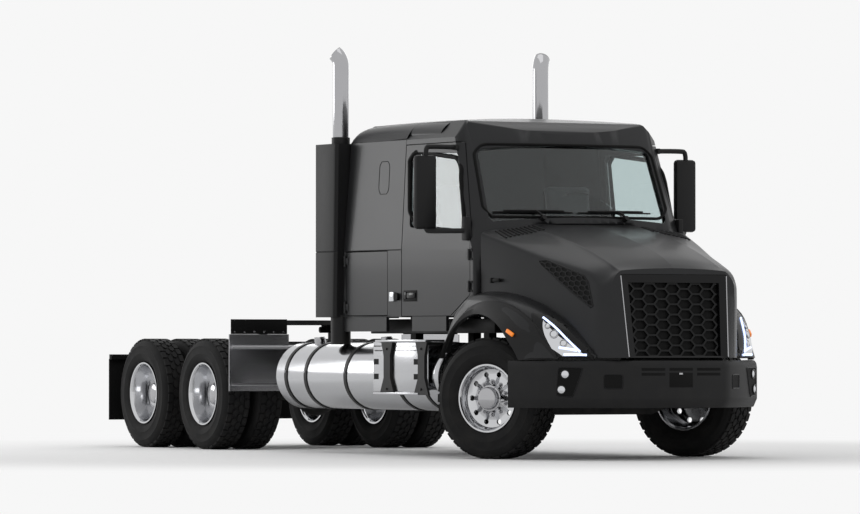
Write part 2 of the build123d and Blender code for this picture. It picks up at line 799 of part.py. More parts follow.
for side, hand in ((1, "left"), (-1, "right")):
    with BuildPart() as door:
        add(shell_layer(0, wall))
        add(side_panel(door_outline, side, 0), mode=Mode.INTERSECT)
        add(side_prism(window_outline, 0, window_corner, side), mode=Mode.SUBTRACT)
        add_door_leaf(door_hinge_x, side, door_hinge_levels, -1)
    door.part.label = f"door_{hand}"
    export_step(door.part, f"parts/door_{hand}.step")

    with BuildPart() as door_glass:
        add(shell_layer(26, 5))
        add(side_prism(window_outline, -seal_gap, window_corner, side), mode=Mode.INTERSECT)
    door_glass.part.label = f"door_glass_{hand}"
    export_step(door_glass.part, f"parts/door_glass_{hand}.step")

    with BuildPart() as mirror_set:
        with Locations((mirror_x, side * mirror_y, mirror_z)):
            Box(90, 216, 660)
        fillet(mirror_set.edges().filter_by(Axis.Z), 20)
        with Locations((mirror_x + 20, side * 1170, mirror_z + 400)):
            Box(40, 380, 34)
        with Locations((mirror_x + 20, side * 1340, mirror_z + 365)):
            Box(40, 40, 104)
        with Locations((mirror_x + 160, side * 1215, mirror_z - 345)):
            Box(340, 270, 34)
        with Locations((mirror_x + 10, side * 1335, mirror_z - 338)):
            Box(40, 40, 40)
        add(cab_envelope(0), mode=Mode.SUBTRACT)
    mirror_set.part.label = f"mirror_{hand}"
    export_step(mirror_set.part, f"parts/mirror_{hand}.step")

    with BuildPart() as luggage_door:
        add(shell_layer(0, wall))
        add(side_panel(luggage_outline, side, 0), mode=Mode.INTERSECT)
        add_door_leaf(luggage_hinge_x, side, luggage_hinge_levels, 1)
    luggage_door.part.label = f"luggage_door_{hand}"
    export_step(luggage_door.part, f"parts/luggage_door_{hand}.step")

# ---- inside the cab ---------------------------------------------------------
seat_x = axle_x - 1180
seat_y = 560
room_floor_z = cab_floor_z + floor_thickness

with BuildPart() as seats:
    for side in (1, -1):
        with Locations((seat_x, side * seat_y, room_floor_z + 130)):
            Box(420, 380, 260)
        with Locations((seat_x, side * seat_y, room_floor_z + 325)):
            Box(540, 520, 130)
        with Locations(Location((seat_x - 250, side * seat_y, room_floor_z + 760), (0, -8, 0))):
            Box(130, 500, 800)
    with Locations((sleeper_back_x + wall + 380, 0, room_floor_z + 330)):
        Box(700, 1900, 140)
    with Locations((sleeper_back_x + wall + 380, 0, room_floor_z + 130)):
        Box(700, 1900, 260)
seats.part.label = "seats"
export_step(seats.part, "parts/seats.step")

with BuildPart() as dashboard:
    with BuildSketch(side_plane):
        with BuildLine():
            Polyline(
                (-150, 1400),
                (-150, 2040),
                (-560, 2040),
                (-680, 1960),
                (-700, 1700),
                (-480, 1500),
                (-420, 1400),
                close=True,
            )
        make_face()
    extrude(amount=900, both=True)
    add(cab_envelope(wall + 0.4), mode=Mode.INTERSECT)
dashboard.part.label = "dashboard"
export_step(dashboard.part, "parts/dashboard.step")

with BuildPart() as steering_wheel:
    wheel_centre = Vector(axle_x - 880, seat_y, 2080)
    column = Vector(-0.5, 0, 0.87).normalized()
    hub_plane = Plane(origin=wheel_centre, z_dir=column)
    with BuildSketch(hub_plane):
        Circle(50)
    extrude(amount=25, both=True)
    with BuildSketch(hub_plane):
        Circle(24)
    extrude(amount=-420)
    with BuildSketch(Plane(origin=wheel_centre, x_dir=column.cross(Vector(0, 1, 0)), z_dir=(0, 1, 0))):
        with Locations((215, 0)):
            Circle(16)
    revolve(axis=Axis(wheel_centre, column))
    with BuildSketch(hub_plane):
        for turn in (0, 120, 240):
            with Locations(Location((0, 0), turn + 90)):
                with Locations((125, 0)):
                    Rectangle(180, 34)
    extrude(amount=8, both=True)
    add(dashboard.part, mode=Mode.SUBTRACT)
steering_wheel.part.label = "steering_wheel"
export_step(steering_wheel.part, "parts/steering_wheel.step")

# ---- hood: centre shell, fenders, grille, lamps -----------------------------
# cross-sections of the hood's centre: distance ahead of the axle, crown height,
# crease, shoulder and foot (half width, height)
hood_sections = [
    (-195, 2062, (640, 2028), (965, 1900), (1060, 1240)),
    (560, 1915, (585, 1850), (800, 1620), (880, 1240)),
    (1290, 1655, (530, 1600), (610, 1490), (640, hood_bottom_z)),
]
fender_side = [
    (-590, 900),
    (-560, 1060),
    (-330, 1290),
    (60, 1400),
    (400, 1375),
    (720, 1262),
    (1010, 1120),
    (1190, 960),
    (1235, hood_bottom_z),
    (700, hood_bottom_z),
    (-500, hood_bottom_z),
]
fender_plan = [
    (-620, 700),
    (-620, fender_half_width),
    (620, fender_half_width),
    (800, 1165),
    (1020, 1040),
    (1245, 730),
    (1330, 590),
    (1330, 440),
    (500, 440),
    (300, 700),
]
lamp_outline = [(680, 1300), (1035, 1150), (1240, 960), (1240, 880), (1010, 880), (935, 1070)]
lamp_gap = 0.4


def hood_loft(inset):
    """Centre of the hood as a ruled loft, drawn in by inset."""
    with BuildPart() as centre_loft:
        for index, (x, crown, crease, shoulder, foot) in enumerate(hood_sections):
            ahead = x - inset if index == len(hood_sections) - 1 else x
            with BuildSketch(Plane(origin=(axle_x + ahead, 0, 0), x_dir=(0, 1, 0), z_dir=(1, 0, 0))):
                with BuildLine():
                    half = [
                        (crease[0] - inset / 2, crease[1] - inset),
                        (shoulder[0] - inset, shoulder[1] - inset / 2),
                        (foot[0] - inset, foot[1] - inset / 8),
                    ]
                    Polyline(
                        *half,
                        *[(-y, z) for y, z in reversed(half)],
                    )
                    ThreePointArc(
                        (-half[0][0], half[0][1]),
                        (0, crown - inset),
                        half[0],
                    )
                make_face()
        loft(ruled=True)
    return centre_loft.part


def fender_block(inset, side):
    """One front fender, side profile crossed with plan, drawn in by inset."""
    with BuildPart() as block:
        with BuildSketch(side_plane) as profile:
            with BuildLine():
                Polyline(*fender_side, close=True)
            make_face()
            if inset:
                offset(amount=-inset, kind=Kind.INTERSECTION)
        extrude(amount=-side * 1400)
        with BuildSketch(Plane(origin=(axle_x, 0, 700)), mode=Mode.PRIVATE) as plan:
            with BuildLine():
                Polyline(*[(x, side * y) for x, y in fender_plan], close=True)
            make_face()
            if inset:
                offset(amount=-inset, kind=Kind.INTERSECTION)
        extrude(plan.sketch, amount=800, mode=Mode.INTERSECT)
    return block.part


def arch_cylinder(side, from_y, to_y, radius):
    """Cylinder along Y that opens a wheel arch."""
    with BuildPart() as opening:
        with BuildSketch(Plane(origin=(arch_x, side * from_y, axle_z), z_dir=(0, side, 0))):
            Circle(radius)
        extrude(amount=to_y - from_y)
    return opening.part


def lamp_block(side):
    """Headlamp let into the front of a fender, flush with its skin."""
    with BuildPart() as lamp:
        add(fender_block(2, side))
        add(fender_block(hood_skin + 40, side), mode=Mode.SUBTRACT)
        add(side_prism(lamp_outline, 0, 0, side), mode=Mode.INTERSECT)
        with Locations(at(900, side * 910, 1100)):
            Box(900, 600, 800, mode=Mode.INTERSECT)
    return lamp.part


nose_low_x = 1395
nose_high_x = 1300

with BuildPart() as hood:
    add(hood_loft(0))
    with BuildSketch(side_plane):
        with BuildLine():
            Polyline(
                (1262, 1650),
                (nose_high_x, 1640),
                (nose_low_x, hood_bottom_z),
                (1262, hood_bottom_z),
                close=True,
            )
        make_face()
    extrude(amount=530, both=True)
    for side in (1, -1):
        add(fender_block(0, side))
    add(hood_loft(hood_skin), mode=Mode.SUBTRACT)
    with Locations(at(500, 0, 1050)):
        Box(1450, 1120, 500, mode=Mode.SUBTRACT)
    with Locations(at(200, 0, 1020)):
        Box(880, 1480, 440, mode=Mode.SUBTRACT)
    with Locations(at(-400, 0, 1500)):
        Box(420, 2600, 1500, mode=Mode.SUBTRACT)
    with Locations(at(-200, 0, 2050)):
        Box(90, 2600, 200, mode=Mode.SUBTRACT)
    with BuildSketch(side_plane):
        with BuildLine():
            Polyline(
                (1100, 1560),
                (nose_high_x + 200, 1560),
                (nose_low_x + 200, 905),
                (1100, 905),
                close=True,
            )
        make_face()
    extrude(amount=470, both=True, mode=Mode.SUBTRACT)
    for side in (1, -1):
        add(side_prism(lamp_outline, lamp_gap, 0, side), mode=Mode.SUBTRACT)
    for side in (1, -1):
        add(fender_block(hood_skin, side), mode=Mode.SUBTRACT)
        add(arch_cylinder(side, 600, 1300, arch_radius), mode=Mode.SUBTRACT)
    with BuildSketch(side_plane) as lug:
        with Locations((hood_pivot_x - axle_x, hood_pivot_z)):
            Circle(hood_lug_radius)
        with BuildLine():
            Polyline(
                (hood_pivot_x - axle_x - hood_lug_radius, hood_pivot_z),
                (hood_pivot_x - axle_x - 34, hood_bottom_z + 10),
                (hood_pivot_x - axle_x - 18, hood_bottom_z + 10),
                (hood_pivot_x - axle_x + 4, hood_pivot_z + 12),
                close=True,
            )
        make_face()
        with Locations((hood_pivot_x - axle_x, hood_pivot_z)):
            Circle(hood_pin_radius + pin_play, mode=Mode.SUBTRACT)
    for y in (hood_lug_y, -hood_lug_y):
        extrude(lug.sketch.moved(Location((0, y, 0))), amount=hood_lug_width / 2, both=True)
hood.part.label = "hood"
export_step(hood.part, "parts/hood.step")
print("hood solids", len(hood.part.solids()))

with BuildPart() as headlamps:
    for side in (1, -1):
        add(lamp_block(side))
headlamps.part.label = "headlamps"
export_step(headlamps.part, "parts/headlamps.step")
print("lamp solids", len(headlamps.part.solids()))

grille_cols = 8
grille_rows = 12
mesh_depth = 14
grille_plane = Plane(
    origin=at(nose_low_x - 40, 0, 905), x_dir=(0, 1, 0), z_dir=(1560 - 905, 0, nose_low_x - nose_high_x)
)
grille_height = hypot(1560 - 905, nose_low_x - nose_high_x)
grille_half_width = 469.6
grille_frame = 24
mesh_bar = 9

with BuildPart() as grille:
    with BuildSketch(grille_plane):
        with Locations((0, grille_height / 2)):
            Rectangle(2 * grille_half_width, grille_height - 6)
        column = 2 * (grille_half_width - grille_frame) / grille_cols
        row = (grille_height - 2 * grille_frame) / grille_rows
        for j in range(grille_rows):
            count = grille_cols - j % 2
            for i in range(count):
                y = (i - (count - 1) / 2) * column
                with Locations((y, grille_frame + row * (j + 0.5))):
                    SlotOverall(column - mesh_bar, row - mesh_bar, mode=Mode.SUBTRACT)
    extrude(amount=-mesh_depth)
grille.part.label = "grille"
export_step(grille.part, "parts/grille.step")

with BuildPart() as fender_flares:
    for side in (1, -1):
        with BuildSketch(Plane(origin=(arch_x, side * fender_half_width, axle_z), z_dir=(0, side, 0))):
            Circle(arch_radius + 95)
            Circle(arch_radius, mode=Mode.SUBTRACT)
        extrude(amount=flare_half_width - fender_half_width)
        with Locations(at(0, side * (flare_half_width - 10), 175)):
            Box(2000, 100, 1400, mode=Mode.SUBTRACT)
fender_flares.part.label = "fender_flares"
export_step(fender_flares.part, "parts/fender_flares.step")

# ---- bumper and its lamps ---------------------------------------------------
bumper_plan = [
    (445, 1435),
    (528, 1398),
    (1033, 1020),
    (1134, 836),
    (1243, 600),
]


def bumper_outline(inset):
    """Closed plan of the bumper's outside as (x, y), drawn in by inset."""
    right = [(x - inset, -y + (inset if y > 1100 else inset / 2)) for y, x in bumper_plan]
    return right + [(x, -y) for x, y in reversed(right)]


with BuildPart() as front_bumper:
    with BuildSketch(Plane(origin=(axle_x, 0, bumper_bottom_z))):
        with BuildLine():
            Polyline(*bumper_outline(0), close=True)
        make_face()
    extrude(amount=bumper_top_z - bumper_bottom_z)
    with BuildSketch(Plane(origin=(axle_x, 0, bumper_bottom_z - 10))):
        with BuildLine():
            Polyline(*bumper_outline(bumper_skin), close=True)
        make_face()
    extrude(amount=bumper_top_z - bumper_bottom_z + 20, mode=Mode.SUBTRACT)
    with Locations(at(600, 0, 657)):
        Box(200, 2290, 500, mode=Mode.SUBTRACT)
    for y in (hood_lug_y, -hood_lug_y):
        with Locations((hood_pivot_x - 3.5, y, bumper_top_z - 14)):
            Box(47, hood_lug_width + 10, 60, mode=Mode.SUBTRACT)
        with Locations(Location((hood_pivot_x, y, hood_pivot_z), (90, 0, 0))):
            Cylinder(hood_pin_radius, hood_lug_width + 10)
    for side in (1, -1):
        with Locations(at(1266, side * (frame_half_width - 40), 770)):
            Box(252, 80, 150)
front_bumper.part.label = "front_bumper"
export_step(front_bumper.part, "parts/front_bumper.step")

with BuildPart() as wipers:
    for y in (420, -420):
        pivot = Vector(screen_low) + Vector(0, y, 0) - screen_out * 40
        with BuildSketch(Plane(origin=pivot, z_dir=screen_out)):
            Circle(16)
        extrude(amount=60)
    add(cab_envelope(0), mode=Mode.SUBTRACT)
wipers.part.label = "wipers"
export_step(wipers.part, "parts/wipers.step")

# ---- cab mounts and skirts --------------------------------------------------
mount_at = (-420, -1500, -2580)
skirt_at = ((-2722, -1904), (-1422, -794))
skirt_bottom_z = 1118

with BuildPart() as cab_mounts:
    for x in mount_at:
        for side in (1, -1):
            with Locations(at(x, side * (frame_half_width - 45), (rail_top_z + cab_floor_z) / 2)):
                Box(100, 80, cab_floor_z - rail_top_z)
cab_mounts.part.label = "cab_mounts"
export_step(cab_mounts.part, "parts/cab_mounts.step")

with BuildPart() as cab_skirts:
    for rear, front in skirt_at:
        for side in (1, -1):
            with Locations(
                at((rear + front) / 2, side * (cab_half_width - 25), (skirt_bottom_z + cab_floor_z) / 2)
            ):
                Box(front - rear, 30, cab_floor_z - skirt_bottom_z)
            with Locations(at((rear + front) / 2, side * (cab_half_width - 75), cab_floor_z - 6)):
                Box(front - rear, 130, 12)
cab_skirts.part.label = "cab_skirts"
export_step(cab_skirts.part, "parts/cab_skirts.step")
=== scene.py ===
"""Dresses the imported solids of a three-axle tractor unit and stands it in a pale studio.

Lengths are metres in the part's own frame: +X ahead, +Y to the driver's left,
+Z up, with the ground at Z = 0.  Distances written as "ahead" count from the
front axle, because most of the vehicle's sizes are known from there.
"""

from __future__ import annotations

import json
import logging
import math
from dataclasses import dataclass, field
from enum import Enum
from typing import Iterable, Sequence

import bmesh
import bpy
from mathutils import Matrix, Vector
from mathutils.bvhtree import BVHTree

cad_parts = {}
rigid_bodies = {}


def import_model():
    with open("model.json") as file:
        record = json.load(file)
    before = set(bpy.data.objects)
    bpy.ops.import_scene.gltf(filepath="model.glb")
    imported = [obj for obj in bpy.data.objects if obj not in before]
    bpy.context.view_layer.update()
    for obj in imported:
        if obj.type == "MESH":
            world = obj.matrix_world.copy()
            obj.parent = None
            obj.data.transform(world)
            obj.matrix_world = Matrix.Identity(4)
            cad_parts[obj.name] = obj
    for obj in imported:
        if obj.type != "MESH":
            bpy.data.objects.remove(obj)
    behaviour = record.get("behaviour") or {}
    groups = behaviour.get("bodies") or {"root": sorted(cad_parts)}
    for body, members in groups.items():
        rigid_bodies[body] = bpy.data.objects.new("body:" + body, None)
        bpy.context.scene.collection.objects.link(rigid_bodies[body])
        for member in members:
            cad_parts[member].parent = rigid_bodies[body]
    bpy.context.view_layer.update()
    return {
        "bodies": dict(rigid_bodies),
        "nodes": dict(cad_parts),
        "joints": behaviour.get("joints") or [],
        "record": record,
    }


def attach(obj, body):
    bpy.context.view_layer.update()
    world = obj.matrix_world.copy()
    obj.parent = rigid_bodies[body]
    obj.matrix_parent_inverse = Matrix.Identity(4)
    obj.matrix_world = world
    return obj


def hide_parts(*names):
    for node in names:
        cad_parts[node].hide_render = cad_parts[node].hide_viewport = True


LOG = logging.getLogger("tractor")
AXLE_X = 2.955
SIDES = ((1, "left"), (-1, "right"))
SMOOTH_ANGLE = math.radians(32)
# key of the search tree over the hood that this script makes
HOOD_FORM = ("hood_form",)


class Finish(Enum):
    """Every surface finish on the tractor, with the record slot that it belongs to."""

    PAINT = "paint"
    FRAME_BLACK = "frame_black"
    PLASTIC = "plastic"
    GLOSS_BLACK = "gloss_black"
    CHROME = "chrome"
    POLISHED = "polished"
    STAINLESS = "stainless"
    TYRE = "tyre"
    RIM = "rim"
    IRON = "iron"
    GLASS = "glass"
    FABRIC = "fabric"
    LEATHER = "leather"
    DASH = "dash"
    LENS = "lens"
    REFLECTOR = "reflector"
    LED = "led"
    AMBER = "amber"
    RED = "red"
    RUBBER_AND_SHADE = "rubber"
    ZINC = "zinc"


SLOT_OF = {
    Finish.GLOSS_BLACK: "plastic",
    Finish.DASH: "plastic",
    Finish.LEATHER: "fabric",
    Finish.ZINC: "chrome",
    **dict.fromkeys((Finish.LENS, Finish.REFLECTOR, Finish.LED, Finish.AMBER, Finish.RED), "lamp"),
}


@dataclass(frozen=True)
class Coating:
    """Numbers that set one opaque finish apart.

    The grain is a fine bump, the mottle a slow change of colour and gloss, and
    the dust a pale film that thickens towards the ground.
    """

    color: tuple[float, float, float]
    roughness: float
    metallic: float = 0.0
    coat: float = 0.0
    coat_roughness: float = 0.08
    specular: float = 0.5
    grain_scale: float = 400.0
    grain_depth: float = 0.0
    mottle_scale: float = 3.0
    mottle: float = 0.15
    dust: float = 0.0
    brush_axis: tuple[float, float, float] = (1.0, 1.0, 1.0)


COATINGS: dict[Finish, Coating] = {
    Finish.PAINT: Coating(
        (0.020, 0.0204, 0.0215), 0.38, metallic=0.35, coat=0.10, coat_roughness=0.10, specular=0.2,
        grain_scale=900, grain_depth=0.004, mottle=0.05, dust=0.02,
    ),
    Finish.FRAME_BLACK: Coating(
        (0.009, 0.009, 0.0095), 0.42, specular=0.2, grain_scale=260, grain_depth=0.02, dust=0.10,
    ),
    Finish.PLASTIC: Coating(
        (0.010, 0.010, 0.0105), 0.48, specular=0.2, grain_scale=700, grain_depth=0.02,
        mottle=0.08, dust=0.03,
    ),
    Finish.GLOSS_BLACK: Coating(
        (0.003, 0.003, 0.0035), 0.16, specular=0.22, mottle=0.05,
    ),
    Finish.CHROME: Coating(
        (0.42, 0.42, 0.432), 0.12, metallic=1.0, grain_scale=60, grain_depth=0.004, mottle=0.06,
    ),
    Finish.POLISHED: Coating(
        (0.48, 0.485, 0.50), 0.17, metallic=1.0, grain_scale=120, grain_depth=0.01,
        mottle=0.2, dust=0.03, brush_axis=(0.06, 1.0, 1.0),
    ),
    Finish.STAINLESS: Coating(
        (0.50, 0.50, 0.515), 0.24, metallic=1.0, grain_scale=300, grain_depth=0.004,
        mottle=0.15, dust=0.02, brush_axis=(1.0, 0.04, 1.0),
    ),
    Finish.TYRE: Coating(
        (0.0085, 0.0085, 0.0088), 0.72, specular=0.18, grain_scale=500, grain_depth=0.06,
        mottle=0.3, dust=0.05,
    ),
    Finish.RIM: Coating(
        (0.58, 0.585, 0.60), 0.13, metallic=1.0, grain_scale=90, grain_depth=0.006, mottle=0.15,
    ),
    Finish.IRON: Coating(
        (0.014, 0.014, 0.0145), 0.58, metallic=0.2, specular=0.25, grain_scale=180, grain_depth=0.12,
        mottle=0.35, dust=0.2,
    ),
    Finish.DASH: Coating((0.02, 0.021, 0.022), 0.65, specular=0.3, grain_scale=500, grain_depth=0.08),
    Finish.REFLECTOR: Coating((0.62, 0.63, 0.65), 0.12, metallic=1.0, mottle=0.05),
    # near black: real rubber, and also painted shade on the plates that stand in for holes, slots and
    # hollows
    Finish.RUBBER_AND_SHADE: Coating(
        (0.004, 0.004, 0.004), 0.6, specular=0.12, grain_scale=400, grain_depth=0.06,
    ),
    Finish.ZINC: Coating(
        (0.45, 0.45, 0.46), 0.3, metallic=1.0, grain_scale=200, grain_depth=0.05, mottle=0.3,
    ),
    Finish.LEATHER: Coating(
        (0.03, 0.031, 0.033), 0.5, specular=0.3, grain_scale=260, grain_depth=0.25, mottle=0.15,
    ),
}


# ---- shaders -----------------------------------------------------------------
@dataclass
class Graph:
    """A node tree that is written down node by node."""

    tree: bpy.types.NodeTree

    def feed(self, node: bpy.types.Node, inputs: dict) -> None:
        """Set a node's inputs, each to a value or linked to another node's output."""
        for socket, value in inputs.items():
            if isinstance(value, bpy.types.NodeSocket):
                self.tree.links.new(value, node.inputs[socket])
            else:
                node.inputs[socket].default_value = value

    def add(self, kind: str, inputs: dict, **settings) -> bpy.types.Node:
        """Add a node.

        Args:
            kind: its type, without the ShaderNode that every type starts with.
            inputs: what feed takes.
            settings: the node's own settings, which come before its inputs.

        Returns:
            The node.
        """
        node = self.tree.nodes.new(f"ShaderNode{kind}")
        for name, value in settings.items():
            setattr(node, name, value)
        self.feed(node, inputs)
        return node


def new_group(
    name: str, inputs: Sequence[tuple[str, str, float]], outputs: Sequence[str],
) -> tuple[Graph, bpy.types.Node, bpy.types.Node]:
    """Make an empty shader node group with named sockets.

    Args:
        name: the group's name.
        inputs: socket name, kind (Float or Vector) and default of each input.
        outputs: name of each output, all of them numbers.

    Returns:
        The group's graph with its input and output nodes.
    """
    group = bpy.data.node_groups.new(name, "ShaderNodeTree")
    for label, kind, default in inputs:
        socket = group.interface.new_socket(label, in_out="INPUT", socket_type=f"NodeSocket{kind}")
        if kind == "Float":
            socket.default_value = default
    for label in outputs:
        group.interface.new_socket(label, in_out="OUTPUT", socket_type="NodeSocketFloat")
    return Graph(group), group.nodes.new("NodeGroupInput"), group.nodes.new("NodeGroupOutput")


def grain_group() -> bpy.types.NodeTree:
    """Fine grain as height, and a slow mask."""
    graph, entry, leave = new_group(
        "surface_grain",
        [("Vector", "Vector", 0), ("Grain Scale", "Float", 400), ("Mottle Scale", "Float", 3)],
        ["Height", "Mask"],
    )
    given = entry.outputs
    fine = graph.add("TexNoise", {
        "Vector": given["Vector"], "Scale": given["Grain Scale"], "Detail": 4,
    })
    slow = graph.add("TexNoise", {
        "Vector": given["Vector"], "Scale": given["Mottle Scale"], "Detail": 6, "Roughness": 0.62,
    })
    graph.feed(leave, {"Height": fine.outputs["Fac"], "Mask": slow.outputs["Fac"]})
    return graph.tree


def dust_group() -> bpy.types.NodeTree:
    """Road film: strongest near the ground, broken up by noise."""
    graph, entry, leave = new_group(
        "road_dust", [("Vector", "Vector", 0), ("Amount", "Float", 0.2)], ["Mask"],
    )
    given = entry.outputs
    split = graph.add("SeparateXYZ", {"Vector": given["Vector"]})
    fade = graph.add("MapRange", {
        "Value": split.outputs["Z"], "From Min": 0.1, "From Max": 1.5, "To Min": 1.0, "To Max": 0.15,
    })
    cloud = graph.add("TexNoise", {"Vector": given["Vector"], "Scale": 7, "Detail": 8})
    patches = graph.add("MapRange", {
        "Value": cloud.outputs["Fac"], "From Min": 0.42, "From Max": 0.72,
    })
    both = graph.add(
        "Math", {0: fade.outputs["Result"], 1: patches.outputs["Result"]}, operation="MULTIPLY",
    )
    scaled = graph.add("Math", {0: both.outputs["Value"], 1: given["Amount"]}, operation="MULTIPLY")
    graph.feed(leave, {"Mask": scaled.outputs["Value"]})
    return graph.tree


class PaintShop:
    """Builds each finish once and hands it out."""

    dust_color = (0.16, 0.145, 0.125, 1.0)
    dust_roughness = 0.85
    # how far the mottle swings a colour and a glass's gloss, as shares
    color_swing = 0.6
    gloss_swing = 0.6
    bump_per_grain = 4
    grain_height = 0.0012
    pattern_height = 0.001

    def __init__(self) -> None:
        """Make the shared groups and every material."""
        self.grain = grain_group()
        self.dust = dust_group()
        self.materials = {finish: self.opaque(finish, coat) for finish, coat in COATINGS.items()}
        self.materials[Finish.GLASS] = self.clear("window_glass", (0.72, 0.8, 0.8), 0.02, 1.45)
        self.materials[Finish.LENS] = self.clear("lamp_lens", (0.95, 0.97, 1.0), 0.03, 1.3)
        self.materials[Finish.LED] = self.lit("led_strip", (0.55, 0.66, 1.0), 1.6)
        self.materials[Finish.AMBER] = self.lit("amber_lens", (1.0, 0.26, 0.02), 0.25)
        self.materials[Finish.RED] = self.lit("red_lens", (0.55, 0.012, 0.01), 0.12)
        self.materials[Finish.FABRIC] = self.woven("seat_cloth", (0.05, 0.053, 0.058))

    def blank(
        self, name: str,
    ) -> tuple[bpy.types.Material, Graph, bpy.types.Node, bpy.types.NodeSocket]:
        """Start a node material.

        Args:
            name: the material's name.

        Returns:
            The material, its graph, its Principled node and the place on the object.
        """
        material = bpy.data.materials.new(name)
        material.use_nodes = True
        graph = Graph(material.node_tree)
        place = graph.add("TexCoord", {}).outputs["Object"]
        return material, graph, graph.tree.nodes["Principled BSDF"], place

    def bump(
        self, graph: Graph, shader: bpy.types.Node, height: bpy.types.NodeSocket,
        strength: float, distance: float,
    ) -> None:
        """Raise a shader's surface by a height."""
        bump = graph.add("Bump", {"Strength": strength, "Distance": distance, "Height": height})
        graph.feed(shader, {"Normal": bump.outputs["Normal"]})

    def opaque(self, finish: Finish, coating: Coating) -> bpy.types.Material:
        """Make one opaque finish from its numbers."""
        material, graph, shader, place = self.blank(finish.value)
        stretch = graph.add("Mapping", {"Vector": place, "Scale": coating.brush_axis})
        grain = graph.add("Group", {
            "Vector": stretch.outputs["Vector"], "Grain Scale": coating.grain_scale,
            "Mottle Scale": coating.mottle_scale,
        }, node_tree=self.grain)
        dust = graph.add("Group", {"Vector": place, "Amount": coating.dust}, node_tree=self.dust)
        gloss = graph.add("MapRange", {
            "Value": grain.outputs["Mask"], "To Min": coating.roughness * (1 - coating.mottle),
            "To Max": min(1.0, coating.roughness * (1 + coating.mottle)),
        })
        swing = coating.mottle * self.color_swing
        shade = graph.add("Mix", {
            "Factor": grain.outputs["Mask"], "A": (*[c * (1 - swing) for c in coating.color], 1),
            "B": (*[min(1.0, c * (1 + swing)) for c in coating.color], 1),
        }, data_type="RGBA")
        film = graph.add("Mix", {
            "Factor": dust.outputs["Mask"], "A": shade.outputs["Result"], "B": self.dust_color,
        }, data_type="RGBA")
        rougher = graph.add("Mix", {
            "Factor": dust.outputs["Mask"], "A": gloss.outputs["Result"], "B": self.dust_roughness,
        })
        graph.feed(shader, {
            "Metallic": coating.metallic, "Specular IOR Level": coating.specular,
            "Coat Weight": coating.coat, "Coat Roughness": coating.coat_roughness,
            "Base Color": film.outputs["Result"], "Roughness": rougher.outputs["Result"],
        })
        if coating.grain_depth:
            strength = min(1.0, coating.grain_depth * self.bump_per_grain)
            self.bump(graph, shader, grain.outputs["Height"], strength, self.grain_height)
        return material

    def clear(
        self, name: str, color: Sequence[float], roughness: float, ior: float,
    ) -> bpy.types.Material:
        """Make a see-through finish with faint wiping marks in its gloss."""
        material, graph, shader, place = self.blank(name)
        grain = graph.add("Group", {"Vector": place, "Mottle Scale": 2.0}, node_tree=self.grain)
        gloss = graph.add("MapRange", {
            "Value": grain.outputs["Mask"], "To Min": roughness * (1 - self.gloss_swing),
            "To Max": roughness * (1 + self.gloss_swing),
        })
        graph.feed(shader, {
            "Base Color": (*color, 1), "IOR": ior, "Transmission Weight": 1.0,
            "Roughness": gloss.outputs["Result"],
        })
        return material

    def lit(self, name: str, color: Sequence[float], strength: float) -> bpy.types.Material:
        """Make a coloured lamp plastic with a moulded pattern and a glow."""
        material, graph, shader, place = self.blank(name)
        wave = graph.add("TexWave", {"Vector": place, "Scale": 60})
        graph.feed(shader, {
            "Base Color": (*color, 1), "Emission Color": (*color, 1),
            "Emission Strength": strength, "Roughness": 0.18, "Coat Weight": 0.5,
        })
        self.bump(graph, shader, wave.outputs["Fac"], 0.35, self.pattern_height)
        return material

    def woven(self, name: str, color: Sequence[float]) -> bpy.types.Material:
        """Make a seat cloth whose weave is two crossed waves."""
        material, graph, shader, place = self.blank(name)
        waves = [
            graph.add(
                "TexWave", {"Vector": place, "Scale": 220, "Distortion": 1.5},
                bands_direction=direction,
            )
            for direction in ("X", "Y")
        ]
        weave = graph.add(
            "Math", {k: wave.outputs["Fac"] for k, wave in enumerate(waves)}, operation="MULTIPLY",
        )
        shade = graph.add("Mix", {
            "Factor": weave.outputs["Value"], "A": (*[c * 0.7 for c in color], 1),
            "B": (*[c * 1.4 for c in color], 1),
        }, data_type="RGBA")
        graph.feed(shader, {
            "Sheen Weight": 0.35, "Roughness": 0.85, "Base Color": shade.outputs["Result"],
        })
        self.bump(graph, shader, weave.outputs["Value"], 0.4, self.pattern_height)
        return material


# ---- the bench: from bmesh to piece ------------------------------------------
@dataclass
class Bench:
    """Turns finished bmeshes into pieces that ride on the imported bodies."""

    frame: dict
    shop: PaintShop
    made: list[str] = field(default_factory=list)

    def piece(
        self,
        name: str,
        mesh: bmesh.types.BMesh,
        finish: Finish,
        body: str,
        stands_for: Sequence[str] = (),
        flat: bool = False,
    ) -> bpy.types.Object:
        """Make one piece.

        Args:
            name: the piece's name.
            mesh: its shape; it is freed.
            finish: its surface.
            body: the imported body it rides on.
            stands_for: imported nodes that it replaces.
            flat: leave every face flat shaded.

        Returns:
            The new object.
        """
        bmesh.ops.remove_doubles(mesh, verts=mesh.verts, dist=1e-6)
        bmesh.ops.recalc_face_normals(mesh, faces=mesh.faces)
        data = bpy.data.meshes.new(name)
        mesh.to_mesh(data)
        mesh.free()
        if not flat:
            data.shade_smooth()
            data.set_sharp_from_angle(angle=SMOOTH_ANGLE)
        data.materials.append(self.shop.materials[finish])
        piece = bpy.data.objects.new(name, data)
        bpy.context.scene.collection.objects.link(piece)
        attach(piece, body)
        if stands_for:
            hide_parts(*stands_for)
        self.made.append(name)
        return piece

    def joint(self, name: str) -> dict:
        """Give one joint's row from the record."""
        return next(j for j in self.frame["joints"] if j["name"] == name)


def ring_plane(centre: Vector, axis: Vector) -> Matrix:
    """Matrix that carries a shape made round +Z to a place whose axis points along axis."""
    turn = axis.normalized().to_track_quat("Z", "Y").to_matrix().to_4x4()
    return Matrix.Translation(centre) @ turn


